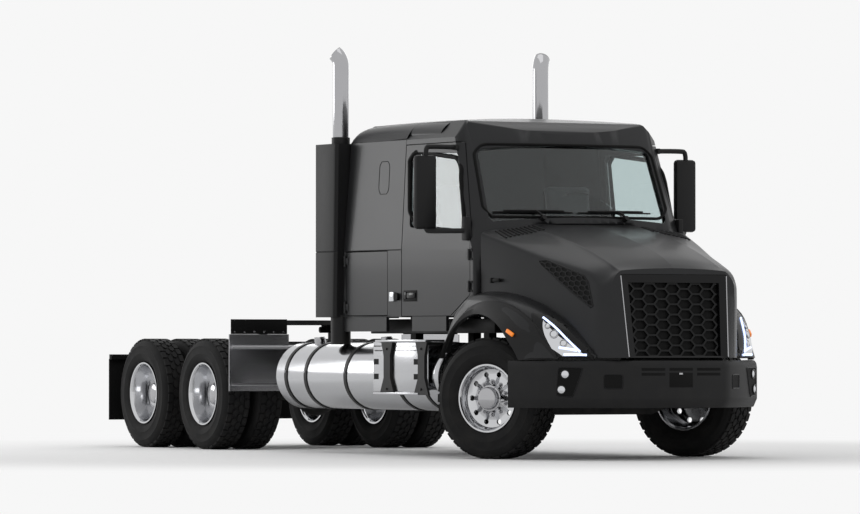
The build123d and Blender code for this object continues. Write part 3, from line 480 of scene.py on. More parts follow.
def spun(
    profile: Sequence[tuple[float, float]], steps: int, closed: bool = True,
) -> bmesh.types.BMesh:
    """Revolve a profile of (radius, height) points round +Z.

    Args:
        profile: the points in order.
        steps: how many steps the full turn has.
        closed: join the last point to the first.

    Returns:
        The revolved shape.
    """
    shape = bmesh.new()
    verts = [shape.verts.new((r, 0, h)) for r, h in profile]
    pairs = list(zip(verts, verts[1:]))
    if closed:
        pairs.append((verts[-1], verts[0]))
    edges = [shape.edges.new(pair) for pair in pairs]
    bmesh.ops.spin(
        shape, geom=verts + edges, cent=(0, 0, 0), axis=(0, 0, 1), dvec=(0, 0, 0),
        angle=math.tau, steps=steps, use_merge=True,
    )
    bmesh.ops.remove_doubles(shape, verts=shape.verts, dist=1e-6)
    return shape


def box(shape: bmesh.types.BMesh, centre: Sequence[float], size: Sequence[float], bevel: float = 0.0,
        turn: Matrix | None = None) -> list[bmesh.types.BMVert]:
    """Add a box, with its edges eased by bevel.

    Args:
        shape: the mesh it joins.
        centre: its middle.
        size: its length, width and height.
        bevel: how far its edges are eased.
        turn: a turn about its own middle.

    Returns:
        The box's vertices.
    """
    place = Matrix.Translation(Vector(centre)) @ (turn.to_4x4() if turn else Matrix())
    made = bmesh.ops.create_cube(shape, size=1.0, matrix=place @ Matrix.Diagonal((*size, 1)))
    verts = made["verts"]
    if bevel:
        edges = list({e for v in verts for e in v.link_edges})
        eased = bmesh.ops.bevel(
            shape, geom=edges, offset=bevel, offset_type="OFFSET", segments=2, profile=0.5,
            affect="EDGES", material=-1,
        )
        verts = list({v for f in eased["faces"] for v in f.verts})
    return verts


def rod(shape: bmesh.types.BMesh, start: Sequence[float], end: Sequence[float], radius: float,
        segments: int = 16, radius_end: float | None = None) -> None:
    """Add a closed round bar between two points."""
    a, b = Vector(start), Vector(end)
    middle = ring_plane((a + b) / 2, b - a)
    bmesh.ops.create_cone(
        shape, cap_ends=True, segments=segments, radius1=radius,
        radius2=radius if radius_end is None else radius_end, depth=(b - a).length, matrix=middle,
    )


def tube_along(shape: bmesh.types.BMesh, points: Sequence[Sequence[float]], radius: float,
               segments: int = 10) -> None:
    """Sweep a closed round section along a smooth path through the points.

    Args:
        shape: the mesh it joins.
        points: the path's corner points.
        radius: the bar's radius.
        segments: sides of the section.
    """
    curve = bpy.data.curves.new("path", "CURVE")
    curve.dimensions = "3D"
    curve.bevel_depth = radius
    curve.bevel_resolution = max(1, segments // 4)
    curve.use_fill_caps = True
    spline = curve.splines.new("NURBS")
    spline.points.add(len(points) - 1)
    for knot, point in zip(spline.points, points):
        knot.co = (*point, 1)
    spline.order_u = 3
    spline.use_endpoint_u = True
    spline.resolution_u = 6
    holder = bpy.data.objects.new("path", curve)
    swept = bpy.data.meshes.new_from_object(holder)
    shape.from_mesh(swept)
    bpy.data.objects.remove(holder)
    bpy.data.curves.remove(curve)
    bpy.data.meshes.remove(swept)


def mirrored(shape: bmesh.types.BMesh) -> bmesh.types.BMesh:
    """Copy a shape to the other side of the vehicle, facing the right way out."""
    other = shape.copy()
    bmesh.ops.scale(other, vec=(1, -1, 1), verts=other.verts)
    bmesh.ops.reverse_faces(other, faces=other.faces)
    return other


def join(shape: bmesh.types.BMesh, other: bmesh.types.BMesh) -> None:
    """Move another shape's faces into a shape and free the other."""
    data = bpy.data.meshes.new("joined")
    other.to_mesh(data)
    other.free()
    shape.from_mesh(data)
    bpy.data.meshes.remove(data)


def stand(shape: bmesh.types.BMesh, part: bmesh.types.BMesh, place: Vector, axis: Vector) -> None:
    """Move a part made round +Z to a place, along an axis, and join it to a shape."""
    bmesh.ops.transform(part, matrix=ring_plane(place, axis), verts=part.verts)
    join(shape, part)


def round_points(count: int, radius: float, height: float, first: float = 0.0) -> list[Vector]:
    """Spread points round +Z at a height, from first steps on."""
    turns = [math.tau * (k + first) / count for k in range(count)]
    return [Vector((radius * math.cos(a), radius * math.sin(a), height)) for a in turns]


def clip(
    shape: bmesh.types.BMesh, outline: Sequence[Vector], middle: Vector, across: Vector,
) -> None:
    """Cut away what lies outside a convex outline.

    Args:
        shape: the flat mesh that is cut.
        outline: the corners, in either turning order.
        middle: a place inside it.
        across: a direction square to its plane.
    """
    for start, end in zip(outline, [*outline[1:], outline[0]]):
        normal = (end - start).cross(across).normalized()
        if (middle - start).dot(normal) > 0:
            normal = -normal
        bmesh.ops.bisect_plane(
            shape, geom=shape.verts[:] + shape.edges[:] + shape.faces[:], plane_co=start,
            plane_no=normal, clear_outer=True,
        )


# ---- tyres -------------------------------------------------------------------
@dataclass
class Tyre:
    """One tyre: carcass, sidewall rings and blocks of tread."""

    width: float
    radius: float = 0.530
    bead_radius: float = 0.2875
    groove_depth: float = 0.013
    blocks_round: int = 36
    rows: int = 4
    steps: int = 96

    def section(self) -> list[tuple[float, float]]:
        """Give the carcass section as (radius, axial) points, outer bead round to inner bead."""
        half = self.width / 2
        floor = self.radius - self.groove_depth
        one_side = [
            (self.bead_radius, half - 0.056),
            (0.305, half - 0.038),
            (0.313, half - 0.033),
            (0.322, half - 0.024),
            (0.345, half - 0.011),
            (0.372, half - 0.004),
            (0.385, half - 0.0005),
            (0.392, half - 0.003),
            (0.425, half - 0.002),
            (0.452, half - 0.006),
            (0.458, half - 0.004),
            (0.463, half - 0.007),
            (self.radius - 0.042, half - 0.016),
            (floor - 0.014, half - 0.03),
            (floor, half - 0.05),
        ]
        return one_side + [(r, -a) for r, a in reversed(one_side)]

    def carcass(self) -> bmesh.types.BMesh:
        """Revolve the carcass round +Z."""
        return spun(self.section(), self.steps)

    def add_block(self, shape: bmesh.types.BMesh, centre: float, width: float, length: float,
                  cut: float) -> list:
        """Add one tread block at the top of the tyre.

        Args:
            shape: the mesh it joins.
            centre: axial middle of the block.
            width: its axial width.
            length: its length round the tyre.
            cut: how far its ends are pointed.

        Returns:
            The block's geometry.
        """
        foot = self.radius - self.groove_depth - 0.004
        ring = [
            (-width / 2, -length / 2 + cut),
            (0, -length / 2),
            (width / 2, -length / 2 + cut),
            (width / 2, length / 2 - cut),
            (0, length / 2),
            (-width / 2, length / 2 - cut),
        ]
        low = [shape.verts.new((foot, along, centre + across)) for across, along in ring]
        face = shape.faces.new(low)
        raised = bmesh.ops.extrude_face_region(shape, geom=[face])
        top = [g for g in raised["geom"] if isinstance(g, bmesh.types.BMVert)]
        crown = Vector((0, 0, centre))
        for vert in top:
            reach = math.sqrt(self.radius**2 - vert.co.y**2)
            vert.co = Vector((reach, vert.co.y, vert.co.z))
            vert.co += (crown + Vector((reach, 0, 0)) - vert.co) * 0.06
            vert.co.x = math.sqrt(self.radius**2 - vert.co.y**2) - 0.0003
        return low + top

    def tread(self) -> bmesh.types.BMesh:
        """Lay the blocks: pointed rows in the middle and square shoulders."""
        shape = bmesh.new()
        pitch = math.tau * self.radius / self.blocks_round
        usable = self.width - 0.074
        row_width = usable / self.rows
        step = math.tau / self.blocks_round
        for row in range(self.rows):
            across = (row - (self.rows - 1) / 2) * row_width
            shoulder = row in (0, self.rows - 1)
            first = len(shape.verts)
            self.add_block(
                shape, across, row_width - 0.007, pitch - 0.009, 0.006 if shoulder else pitch * 0.24,
            )
            shape.verts.ensure_lookup_table()
            block = shape.verts[first:]
            bmesh.ops.rotate(
                shape, verts=block, cent=(0, 0, 0),
                matrix=Matrix.Rotation(step * 0.5 * (row % 2), 3, "Z"),
            )
            geom = block + [f for f in shape.faces if f.verts[0] in set(block)]
            geom += list({e for v in block for e in v.link_edges})
            bmesh.ops.spin(
                shape, geom=geom, cent=(0, 0, 0), axis=(0, 0, 1), dvec=(0, 0, 0),
                angle=step * (self.blocks_round - 1), steps=self.blocks_round - 1, use_duplicate=True,
            )
        return shape

    def whole(self, centre: Vector, outward: Vector) -> bmesh.types.BMesh:
        """Put carcass and tread together at their place on the vehicle."""
        shape = self.carcass()
        join(shape, self.tread())
        bmesh.ops.transform(shape, matrix=ring_plane(centre, outward), verts=shape.verts)
        return shape


@dataclass
class Wheels:
    """Every tyre at its wheel."""

    bench: Bench
    front_width: float = 0.385
    drive_width: float = 0.300
    dual_spacing: float = 0.345

    def front(self, side: int, hand: str) -> None:
        """Dress one front wheel."""
        joint = self.bench.joint(f"front_spin_{hand}")
        centre = Vector(joint["pos_m"])
        outward = Vector(joint["axis"]) * side
        tyre = Tyre(self.front_width, rows=5)
        self.bench.piece(
            f"tyre_front_{hand}", tyre.whole(centre, outward), Finish.TYRE, f"front_wheel_{hand}",
            [f"front_tyre_{hand}"],
        )

    def twins(self, axle: str, side: int, hand: str) -> None:
        """Dress one pair of drive wheels."""
        joint = self.bench.joint(f"{axle}_spin_{hand}")
        middle = Vector(joint["pos_m"])
        outward = Vector((0, side, 0))
        shape = bmesh.new()
        for place in (0.5, -0.5):
            centre = middle + outward * place * self.dual_spacing
            join(shape, Tyre(self.drive_width).whole(centre, outward))
        self.bench.piece(
            f"tyres_{axle}_{hand}", shape, Finish.TYRE, f"{axle}_wheels_{hand}",
            [f"{axle}_tyres_{hand}"],
        )

    def build(self) -> None:
        """Make all wheels."""
        for side, hand in SIDES:
            self.front(side, hand)
            for axle in ("mid", "rear"):
                self.twins(axle, side, hand)


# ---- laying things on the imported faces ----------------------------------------
def ahead(x: float, y: float, z: float) -> Vector:
    """Give a point x metres ahead of the front axle."""
    return Vector((AXLE_X + x, y, z))


@dataclass
class Skin:
    """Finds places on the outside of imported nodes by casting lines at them."""

    frame: dict
    trees: dict = field(default_factory=dict)

    def tree(self, nodes: tuple[str, ...]) -> BVHTree:
        """Give one search tree over the faces of several nodes."""
        if nodes not in self.trees:
            shape = bmesh.new()
            for node in nodes:
                shape.from_mesh(self.frame["nodes"][node].data)
            self.trees[nodes] = BVHTree.FromBMesh(shape)
            shape.free()
        return self.trees[nodes]

    def side(self, nodes: tuple[str, ...], side: int, x: float, z: float) -> tuple[Vector, Vector]:
        """Find the outermost place of a side at x ahead of the axle and height z.

        Args:
            nodes: the nodes that are looked at.
            side: 1 for the left, -1 for the right.
            x: distance ahead of the front axle.
            z: height.

        Returns:
            The place and its outward direction.
        """
        place, normal, _, _ = self.tree(nodes).ray_cast(ahead(x, side * 3, z), Vector((0, -side, 0)))
        if place is None:
            raise ValueError(f"no face of {nodes} at {x}, {z}")
        return place, normal if normal.y * side > 0 else -normal

    def drape(
        self, nodes: tuple[str, ...], side: int, points: Iterable[tuple[float, float]],
        out: float = 0.0,
    ) -> list[Vector]:
        """Lay (ahead, height) points on one side, standing off it by out."""
        spots = [self.side(nodes, side, x, z) for x, z in points]
        return [place + normal * out for place, normal in spots]

    def front(self, nodes: tuple[str, ...], y: float, z: float) -> tuple[Vector, Vector]:
        """Find the foremost place at y and z, with its outward direction."""
        place, normal, _, _ = self.tree(nodes).ray_cast(ahead(4, y, z), Vector((-1, 0, 0)))
        if place is None:
            raise ValueError(f"no face of {nodes} at {y}, {z}")
        return place, normal if normal.x > 0 else -normal


def closed_path(
    points: Sequence[tuple[float, float]], steps: int, corner: float,
) -> list[tuple[float, float]]:
    """Walk round a polygon with its corners cut by corner, several steps to each side."""
    path = []
    count = len(points)
    for index in range(count):
        here, after = Vector(points[index]), Vector(points[(index + 1) % count])
        run = after - here
        share = corner / run.length
        path += [tuple(here + run * (share + (1 - 2 * share) * k / steps)) for k in range(steps + 1)]
    return path + [path[0]]


def hex_bolt(
    shape: bmesh.types.BMesh, place: Vector, axis: Vector, across: float, height: float,
) -> None:
    """Add a six-sided head on a washer, standing on place."""
    outward = axis.normalized()
    rod(shape, place, place + outward * height * 0.3, across * 0.72, 14)
    rod(shape, place + outward * height * 0.3, place + outward * height, across * 0.56, 6, across * 0.5)


def plate(shape: bmesh.types.BMesh, corners_of: Sequence[Vector], thickness: Vector) -> None:
    """Add a flat plate: an outline and the step that gives it its thickness."""
    face = shape.faces.new([shape.verts.new(corner) for corner in corners_of])
    raised = bmesh.ops.extrude_face_region(shape, geom=[face])
    top = [g for g in raised["geom"] if isinstance(g, bmesh.types.BMVert)]
    bmesh.ops.translate(shape, vec=thickness, verts=top)


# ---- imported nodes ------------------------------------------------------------
SMOOTHED: dict[Finish, tuple[str, ...]] = {
    Finish.PAINT: (
        "cab_shell", "sleeper_shell", "door_left", "door_right", "luggage_door_left",
        "luggage_door_right",
    ),
    Finish.POLISHED: ("fuel_tanks",),
    Finish.CHROME: ("exhaust_stacks",),
    Finish.DASH: ("dashboard",),
    Finish.LEATHER: ("steering_wheel",),
    Finish.IRON: (
        "drive_axles", "front_axle", "knuckle_left", "knuckle_right", "fifth_wheel_plate",
    ),
    Finish.RIM: (
        "front_rim_left", "front_rim_right", "mid_rims_left", "mid_rims_right", "rear_rims_left",
        "rear_rims_right",
    ),
}
SKIN_MERGE = 2e-5


def finish_nodes(bench: Bench) -> None:
    """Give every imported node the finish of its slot."""
    for row in bench.frame["record"]["subparts"]:
        slot = row["material_slot"]
        finish = Finish.LENS if slot == "lamp" else Finish(slot)
        node = bench.frame["nodes"][row["node"]]
        node.data.materials.clear()
        node.data.materials.append(bench.shop.materials[finish])


def smooth_nodes(bench: Bench) -> None:
    """Cover the curved nodes with smoothly shaded copies of their own meshes."""
    bodies = bench.frame["record"]["behaviour"]["bodies"]
    riders = {node: body for body, nodes in bodies.items() for node in nodes}
    for finish, names in SMOOTHED.items():
        for name in names:
            shape = bmesh.new()
            shape.from_mesh(bench.frame["nodes"][name].data)
            bmesh.ops.remove_doubles(shape, verts=shape.verts, dist=SKIN_MERGE)
            bmesh.ops.dissolve_degenerate(shape, dist=SKIN_MERGE, edges=shape.edges)
            skin = bench.piece(f"{name}_skin", shape, finish, riders[name], [name])
            if finish is Finish.PAINT:
                even = skin.modifiers.new("even_panels", "WEIGHTED_NORMAL")
                even.mode = "FACE_AREA"
                even.weight = 90
                even.keep_sharp = True


# ---- wheel centres -------------------------------------------------------------
@dataclass
class Hubs:
    """Nuts and caps that stand on the rims' discs."""

    bench: Bench
    nuts: int = 10
    nut_circle: float = 0.1425
    nut_across: float = 0.033
    cap_radius: float = 0.1
    cap_bolts: int = 6
    cap_bolt_circle: float = 0.107
    # faces of the discs and tops of the hubs, from the wheel's middle
    front_face: float = 0.070
    front_hub: float = 0.115
    drive_face: float = 0.022
    drive_hub: float = 0.15

    def dress(
        self, name: str, centre: Vector, outward: Vector, face: float, hub: float, body: str,
    ) -> None:
        """Stand nuts and a cap on one disc.

        Args:
            name: start of the pieces' names.
            centre: the tyre's middle.
            outward: the axle's direction.
            face: the disc's face from the middle.
            hub: how far the hub stands from the middle.
            body: the body that they ride on.
        """
        nuts = bmesh.new()
        for foot in round_points(self.nuts, self.nut_circle, face, 0.5):
            hex_bolt(nuts, foot, Vector((0, 0, 1)), self.nut_across, 0.028)
            rod(nuts, foot + Vector((0, 0, 0.026)), foot + Vector((0, 0, 0.04)), 0.009, 10)
        place = ring_plane(centre, outward)
        bmesh.ops.transform(nuts, matrix=place, verts=nuts.verts)
        self.bench.piece(f"{name}_nuts", nuts, Finish.CHROME, body)
        rim = self.cap_radius
        cap = spun(
            [(r, hub + rise) for r, rise in (
                (0.0, -0.004), (rim + 0.014, -0.004), (rim + 0.014, 0.004), (rim, 0.006),
                (rim - 0.002, 0.03), (rim - 0.012, 0.05), (rim * 0.6, 0.062), (0.0, 0.066),
            )],
            48, closed=False,
        )
        for foot in round_points(self.cap_bolts, self.cap_bolt_circle, hub + 0.003):
            hex_bolt(cap, foot, Vector((0, 0, 1)), 0.012, 0.006)
        bmesh.ops.transform(cap, matrix=place, verts=cap.verts)
        self.bench.piece(f"{name}_cap", cap, Finish.CHROME, body)

    def build(self) -> None:
        """Dress all six wheel ends."""
        for side, hand in SIDES:
            joint = self.bench.joint(f"front_spin_{hand}")
            self.dress(
                f"front_hub_{hand}", Vector(joint["pos_m"]), Vector(joint["axis"]) * side,
                self.front_face, self.front_hub, f"front_wheel_{hand}",
            )
            for axle in ("mid", "rear"):
                joint = self.bench.joint(f"{axle}_spin_{hand}")
                self.dress(
                    f"{axle}_hub_{hand}", Vector(joint["pos_m"]), Vector((0, side, 0)),
                    self.drive_face, self.drive_hub, f"{axle}_wheels_{hand}",
                )


# ---- nose: hood, fenders, flares, grille, bumper ------------------------------------
Row = list[tuple[float, float, float]]


def eased(points: Sequence[Sequence[float]], steps: int) -> list[Vector]:
    """Put a curve without overshoot through points, with several steps between each two."""
    fixed = [Vector(p) for p in points]
    ends = [fixed[0] * 2 - fixed[1], *fixed, fixed[-1] * 2 - fixed[-2]]
    path = []
    for quad in zip(ends, ends[1:], ends[2:], ends[3:]):
        knots = [0.0]
        for start, end in zip(quad, quad[1:]):
            knots.append(knots[-1] + max((end - start).length, 1e-6) ** 0.5)
        for step in range(steps):
            t = knots[1] + (knots[2] - knots[1]) * step / steps
            near = [
                quad[k].lerp(quad[k + 1], (t - knots[k]) / (knots[k + 1] - knots[k])) for k in range(3)
            ]
            low, high = (
                near[k].lerp(near[k + 1], (t - knots[k]) / (knots[k + 2] - knots[k])) for k in range(2)
            )
            path.append(low.lerp(high, (t - knots[1]) / (knots[2] - knots[1])))
    return path + [fixed[-1]]


def lofted(
    rows: Sequence[Sequence[Sequence[float]]], along: int = 1, across: int = 1,
) -> bmesh.types.BMesh:
    """Draw a smooth sheet through rows of points, counted from the front axle.

    Args:
        rows: equally long rows of points.
        along: steps between two rows.
        across: steps between two points of a row.

    Returns:
        The sheet.
    """
    fine = [eased(row, across) for row in rows]
    columns = [eased(column, along) for column in zip(*fine)]
    lines = [[ahead(*place) for place in line] for line in zip(*columns)]
    shape = bmesh.new()
    verts = [shape.verts.new(place) for place in lines[0]]
    edges = [shape.edges.new(pair) for pair in zip(verts, verts[1:])]
    for line in lines[1:]:
        grown = bmesh.ops.extrude_edge_only(shape, edges=edges)["geom"]
        edges = [g for g in grown if isinstance(g, bmesh.types.BMEdge)]
        order = {vert.co.copy().freeze(): k for k, vert in enumerate(verts)}
        fresh = [g for g in grown if isinstance(g, bmesh.types.BMVert)]
        fresh.sort(key=lambda vert: order[vert.co.copy().freeze()])
        for vert, place in zip(fresh, line):
            vert.co = place
        verts = fresh
    return shape


def walled(sheet: bmesh.types.BMesh, thickness: float) -> bmesh.types.BMesh:
    """Give a sheet a wall and face it outwards."""
    bmesh.ops.remove_doubles(sheet, verts=sheet.verts, dist=1e-5)
    bmesh.ops.recalc_face_normals(sheet, faces=sheet.faces)
    bmesh.ops.solidify(sheet, geom=sheet.faces[:], thickness=thickness)
    bmesh.ops.recalc_face_normals(sheet, faces=sheet.faces)
    return sheet


def trimmed_patch(outline: Sequence[tuple[float, float]], cell: float) -> bmesh.types.BMesh:
    """Cut a fine flat grid to a convex outline in the side view.

    Args:
        outline: corners as (ahead, height), in either turning order.
        cell: the grid's spacing.

    Returns:
        The patch, standing at Y = 0.
    """
    xs, zs = [p[0] for p in outline], [p[1] for p in outline]
    middle = ahead((min(xs) + max(xs)) / 2, 0, (min(zs) + max(zs)) / 2)
    half = max(max(xs) - min(xs), max(zs) - min(zs)) / 2 + cell
    count = int(2 * half / cell)
    shape = bmesh.new()
    stand = Matrix.Translation(middle) @ Matrix.Rotation(math.pi / 2, 4, "X")
    bmesh.ops.create_grid(shape, x_segments=count, y_segments=count, size=half, matrix=stand)
    centre = ahead(sum(xs) / len(xs), 0, sum(zs) / len(zs))
    clip(shape, [ahead(x, 0, z) for x, z in outline], centre, Vector((0, 1, 0)))
    return shape


def hex_net(columns: int, rows: int, width: float, height: float, bar: float) -> bmesh.types.BMesh:
    """Weave a flat net of long hexagons in the X-Y plane, centred on the origin.

    Args:
        columns: cells to each side of the middle one.
        rows: cells above and below the middle one.
        width: a cell from tip to tip.
        height: a cell's height.
        bar: half the width of a bar.

    Returns:
        The net, one face thick.
    """
    shape = bmesh.new()
    for column in range(-columns, columns + 1):
        for row in range(-rows, rows + 1):
            middle = Vector((column * width * 0.75, row * height + height / 2 * (column % 2), 0))
            scale = Matrix.Diagonal((width / 2, height / math.sqrt(3), 1, 1))
            place = Matrix.Translation(middle) @ scale
            bmesh.ops.create_circle(shape, cap_ends=True, segments=6, radius=1.0,
                                    matrix=place @ Matrix.Rotation(math.pi / 2, 4, "Z"))
    bmesh.ops.remove_doubles(shape, verts=shape.verts, dist=1e-4)
    cells = shape.faces[:]
    bmesh.ops.inset_individual(shape, faces=cells, thickness=bar, use_even_offset=True)
    bmesh.ops.delete(shape, geom=cells, context="FACES_ONLY")
    return shape


@dataclass
class Nose:
    """Hood, fenders, flares, lamps, vents, grille and bumper."""

    bench: Bench
    skin: Skin
    # distance ahead, crown height, then crease, shoulder and foot as (half width, height)
    hood_rows: tuple = (
        (-0.195, 2.063, (0.640, 2.043), (1.048, 1.985), (1.058, 1.240)),
        (0.170, 2.005, (0.598, 1.972), (0.968, 1.878), (1.000, 1.250)),
        (0.540, 1.928, (0.562, 1.888), (0.876, 1.766), (0.915, 1.150)),
        (0.850, 1.846, (0.545, 1.797), (0.792, 1.692), (0.838, 1.050)),
        (1.120, 1.757, (0.534, 1.702), (0.718, 1.612), (0.748, 0.900)),
        (1.235, 1.700, (0.531, 1.654), (0.678, 1.520), (0.695, 0.884)),
    )
    # distance ahead, then valley, crown, outer edge and foot of a fender as (half width, height)
    fender_rows: tuple = (
        (-0.640, (1.118, 0.930), (1.160, 0.925), (1.196, 0.900), (1.202, 0.878)),
        (-0.560, (1.118, 1.100), (1.160, 1.095), (1.196, 1.050), (1.203, 0.968)),
        (-0.420, (1.118, 1.280), (1.160, 1.272), (1.196, 1.225), (1.204, 1.111)),
        (-0.230, (1.118, 1.405), (1.160, 1.397), (1.197, 1.350), (1.204, 1.218)),
        (-0.170, (1.030, 1.462), (1.130, 1.430), (1.197, 1.368), (1.204, 1.236)),
        (0.000, (0.995, 1.468), (1.108, 1.448), (1.196, 1.376), (1.204, 1.265)),
        (0.150, (0.975, 1.458), (1.095, 1.440), (1.194, 1.366), (1.204, 1.255)),
        (0.300, (0.950, 1.434), (1.070, 1.420), (1.188, 1.334), (1.204, 1.214)),
        (0.450, (0.920, 1.396), (1.045, 1.384), (1.178, 1.286), (1.204, 1.133)),
        (0.600, (0.880, 1.345), (1.015, 1.334), (1.155, 1.228), (1.198, 0.994)),
        (0.700, (0.855, 1.300), (0.985, 1.290), (1.125, 1.180), (1.176, 0.882)),
        (0.820, (0.825, 1.236), (0.940, 1.224), (1.070, 1.108), (1.130, 0.882)),
        (0.930, (0.790, 1.164), (0.888, 1.150), (1.005, 1.036), (1.072, 0.882)),
        (1.030, (0.760, 1.082), (0.836, 1.066), (0.925, 0.968), (0.985, 0.882)),
        (1.120, (0.730, 0.992), (0.782, 0.980), (0.835, 0.918), (0.872, 0.882)),
        (1.215, (0.690, 0.898), (0.706, 0.894), (0.722, 0.888), (0.735, 0.882)),
    )
    # side views as (ahead, height)
    lamp_outline: tuple = (
        (0.690, 1.268), (0.800, 1.242), (0.930, 1.158), (1.070, 1.032), (1.150, 0.952),
        (1.205, 0.888), (1.030, 0.888), (0.860, 1.060),
    )
    vent_outline: tuple = (
        (0.530, 1.725), (0.620, 1.730), (1.060, 1.592), (1.110, 1.530), (1.165, 1.330),
        (1.150, 1.318), (0.560, 1.690),
    )
    vent_middle: tuple[float, float] = (0.86, 1.52)
    vent_edge: tuple = ((0.57, 1.690), (0.72, 1.590), (0.86, 1.502), (1.0, 1.413), (1.14, 1.325))
    bowl_outline: tuple = (
        (0.800, 1.215), (0.900, 1.150), (1.030, 1.030), (1.125, 0.935), (1.175, 0.893),
        (1.050, 0.893), (0.960, 0.960), (0.880, 1.075),
    )
    strips: tuple = (
        ((0.79, 1.222), (0.90, 1.150), (1.03, 1.030), (1.125, 0.935)),
        ((1.105, 0.945), (1.05, 0.958), (1.0, 0.968)),
        ((1.165, 0.905), (1.10, 0.905), (1.05, 0.905)),
    )
    # distance ahead, height and radius
    projectors: tuple = ((0.935, 1.082, 0.033), (1.015, 1.005, 0.028), (0.865, 1.150, 0.020))
    # inner and outer circle of a flare: distance ahead, height and radius
    arch: tuple[float, float, float] = (0.030, 0.530, 0.735)
    flare: tuple[float, float, float] = (0.200, 0.450, 0.930)
    flare_steps: int = 25
    hood_wall: float = 0.006
    # (ahead, height)
    grille_foot: tuple[float, float] = (1.400, 0.885)
    grille_head: tuple[float, float] = (1.313, 1.601)
    # (across, share of the height) of the surround's outside and of its opening
    grille_outside: tuple = ((-0.494, 0.0), (0.494, 0.0), (0.530, 1.0), (-0.530, 1.0))
    grille_opening: tuple = ((-0.432, 0.022), (0.432, 0.022), (0.460, 0.905), (-0.460, 0.905))
    grille_edge: tuple = ((0.500, 0.01), (0.5165, 0.5), (0.533, 0.985))
    grille_middle: float = 0.463
    # (ahead, half width)
    bumper_plan: tuple = (
        (1.435, 0.0), (1.435, 0.445), (1.398, 0.528), (1.020, 1.033), (0.836, 1.134),
        (0.600, 1.243),
    )
    # (height, inset)
    bumper_levels: tuple = (
        (0.456, 0.075), (0.452, 0.034), (0.458, 0.028), (0.524, 0.001), (0.540, 0.0),
        (0.800, 0.0), (0.838, 0.006), (0.858, 0.020), (0.862, 0.034), (0.860, 0.090),
    )
    # across, height, width and height of the slots and the window in the bumper's front, each drawn as
    # a dark plate of painted shade
    bumper_slots: tuple = (
        (0, 0.785, 0.236, 0.024), (0.279, 0.785, 0.236, 0.024), (-0.279, 0.785, 0.236, 0.024),
        (0.279, 0.743, 0.236, 0.024), (-0.279, 0.743, 0.236, 0.024), (0, 0.692, 0.236, 0.126),
    )
    # the bumper's slanted corner: how it faces and a place on it, as (ahead, sideways)
    corner_facing: tuple[int, int] = (505, 378)
    corner_foot: tuple[float, float] = (1.209, 0.7805)
    # (along the corner, height) of its pockets and its fog lamps
    corner_pockets: tuple = (
        ((-0.285, 0.620), (-0.123, 0.620), (-0.123, 0.738), (-0.285, 0.738)),
        ((0.147, 0.545), (0.290, 0.560), (0.272, 0.800), (0.060, 0.796)),
    )
    fog_lamps: tuple = ((0.214, 0.742), (0.246, 0.610))

    def hood_row(self, x: float, crown: float, crease: Sequence[float], shoulder: Sequence[float],
                 foot: Sequence[float]) -> Row:
        """Fill one hood section with points, close together at its two edges."""
        (cy, cz), (sy, sz), (fy, fz) = crease, shoulder, foot
        slope = Vector((sy - cy, sz - cz)).normalized()
        return [
            (x, 0, crown), (x, cy * 0.55, crown - (crown - cz) * 0.32), (x, cy - 0.02, cz + 0.0035),
            (x, cy, cz), (x, cy + slope.x * 0.02, cz + slope.y * 0.02 - 0.004),
            (x, (cy + sy) / 2, (cz + sz) / 2 + 0.002),
            (x, sy - slope.x * 0.03, sz - slope.y * 0.03 + 0.001),
            (x, sy + 0.006, sz - 0.014), (x, sy + 0.010 + (fy - sy) * 0.1, sz - 0.05),
            (x, (sy + fy) / 2 + 0.004, (sz + fz) / 2), (x, fy, fz),
        ]

    def hood_sheet(self) -> bmesh.types.BMesh:
        """Draw half of the hood from the windscreen to the grille's edge."""
        rows = [self.hood_row(*row) for row in self.hood_rows]
        nose = [
            (1.300, 0, 1.658), (1.301, 0.29, 1.650), (1.302, 0.505, 1.636), (1.302, 0.528, 1.632),
            (1.302, 0.545, 1.622), (1.302, 0.578, 1.590), (1.306, 0.600, 1.555), (1.308, 0.614, 1.520),
            (1.312, 0.618, 1.450), (1.332, 0.604, 1.180), (1.352, 0.590, 0.884),
        ]
        lip = [
            (1.312, 0, 1.604), (1.312, 0.29, 1.604), (1.312, 0.500, 1.604), (1.312, 0.520, 1.604),
            (1.312, 0.530, 1.603), (1.313, 0.533, 1.596), (1.317, 0.532, 1.560), (1.322, 0.530, 1.520),
            (1.330, 0.527, 1.450), (1.364, 0.513, 1.180), (1.400, 0.497, 0.884),
        ]
        skin = lofted([*rows, nose], along=5, across=3)
        join(skin, lofted([nose, lip], across=3))
        return skin

    def fender_sheet(self) -> bmesh.types.BMesh:
        """Draw one fender with a round crown."""
        rows = []
        for x, valley, crown, edge, foot in self.fender_rows:
            mid = ((crown[0] + edge[0]) / 2 + 0.012, (crown[1] + edge[1]) / 2 + 0.016)
            rows.append([(x, y, z) for y, z in (valley, crown, mid, edge, foot)])
        return lofted(rows, along=4, across=5)

    def hood(self) -> None:
        """Make the painted hood with both fenders, and keep its tree for what lies on it."""
        half = bmesh.new()
        join(half, walled(self.hood_sheet(), self.hood_wall))
        join(half, walled(self.fender_sheet(), self.hood_wall))
        join(half, mirrored(half))
        self.skin.trees[HOOD_FORM] = BVHTree.FromBMesh(half)
        self.bench.piece("hood_panel", half, Finish.PAINT, "hood", ["hood"])

    def laid(
        self, patch: bmesh.types.BMesh, side: int, out: float, thickness: float,
    ) -> bmesh.types.BMesh:
        """Press a side-view patch onto the hood's outside and give it a wall.

        Args:
            patch: the flat patch; it is changed.
            side: 1 for the left, -1 for the right.
            out: how far it stands off the hood.
            thickness: its wall.

        Returns:
            The laid patch.
        """
        for vert in patch.verts:
            place, normal = self.skin.side(HOOD_FORM, side, vert.co.x - AXLE_X, vert.co.z)
            vert.co = place + normal * out
        return walled(patch, thickness)

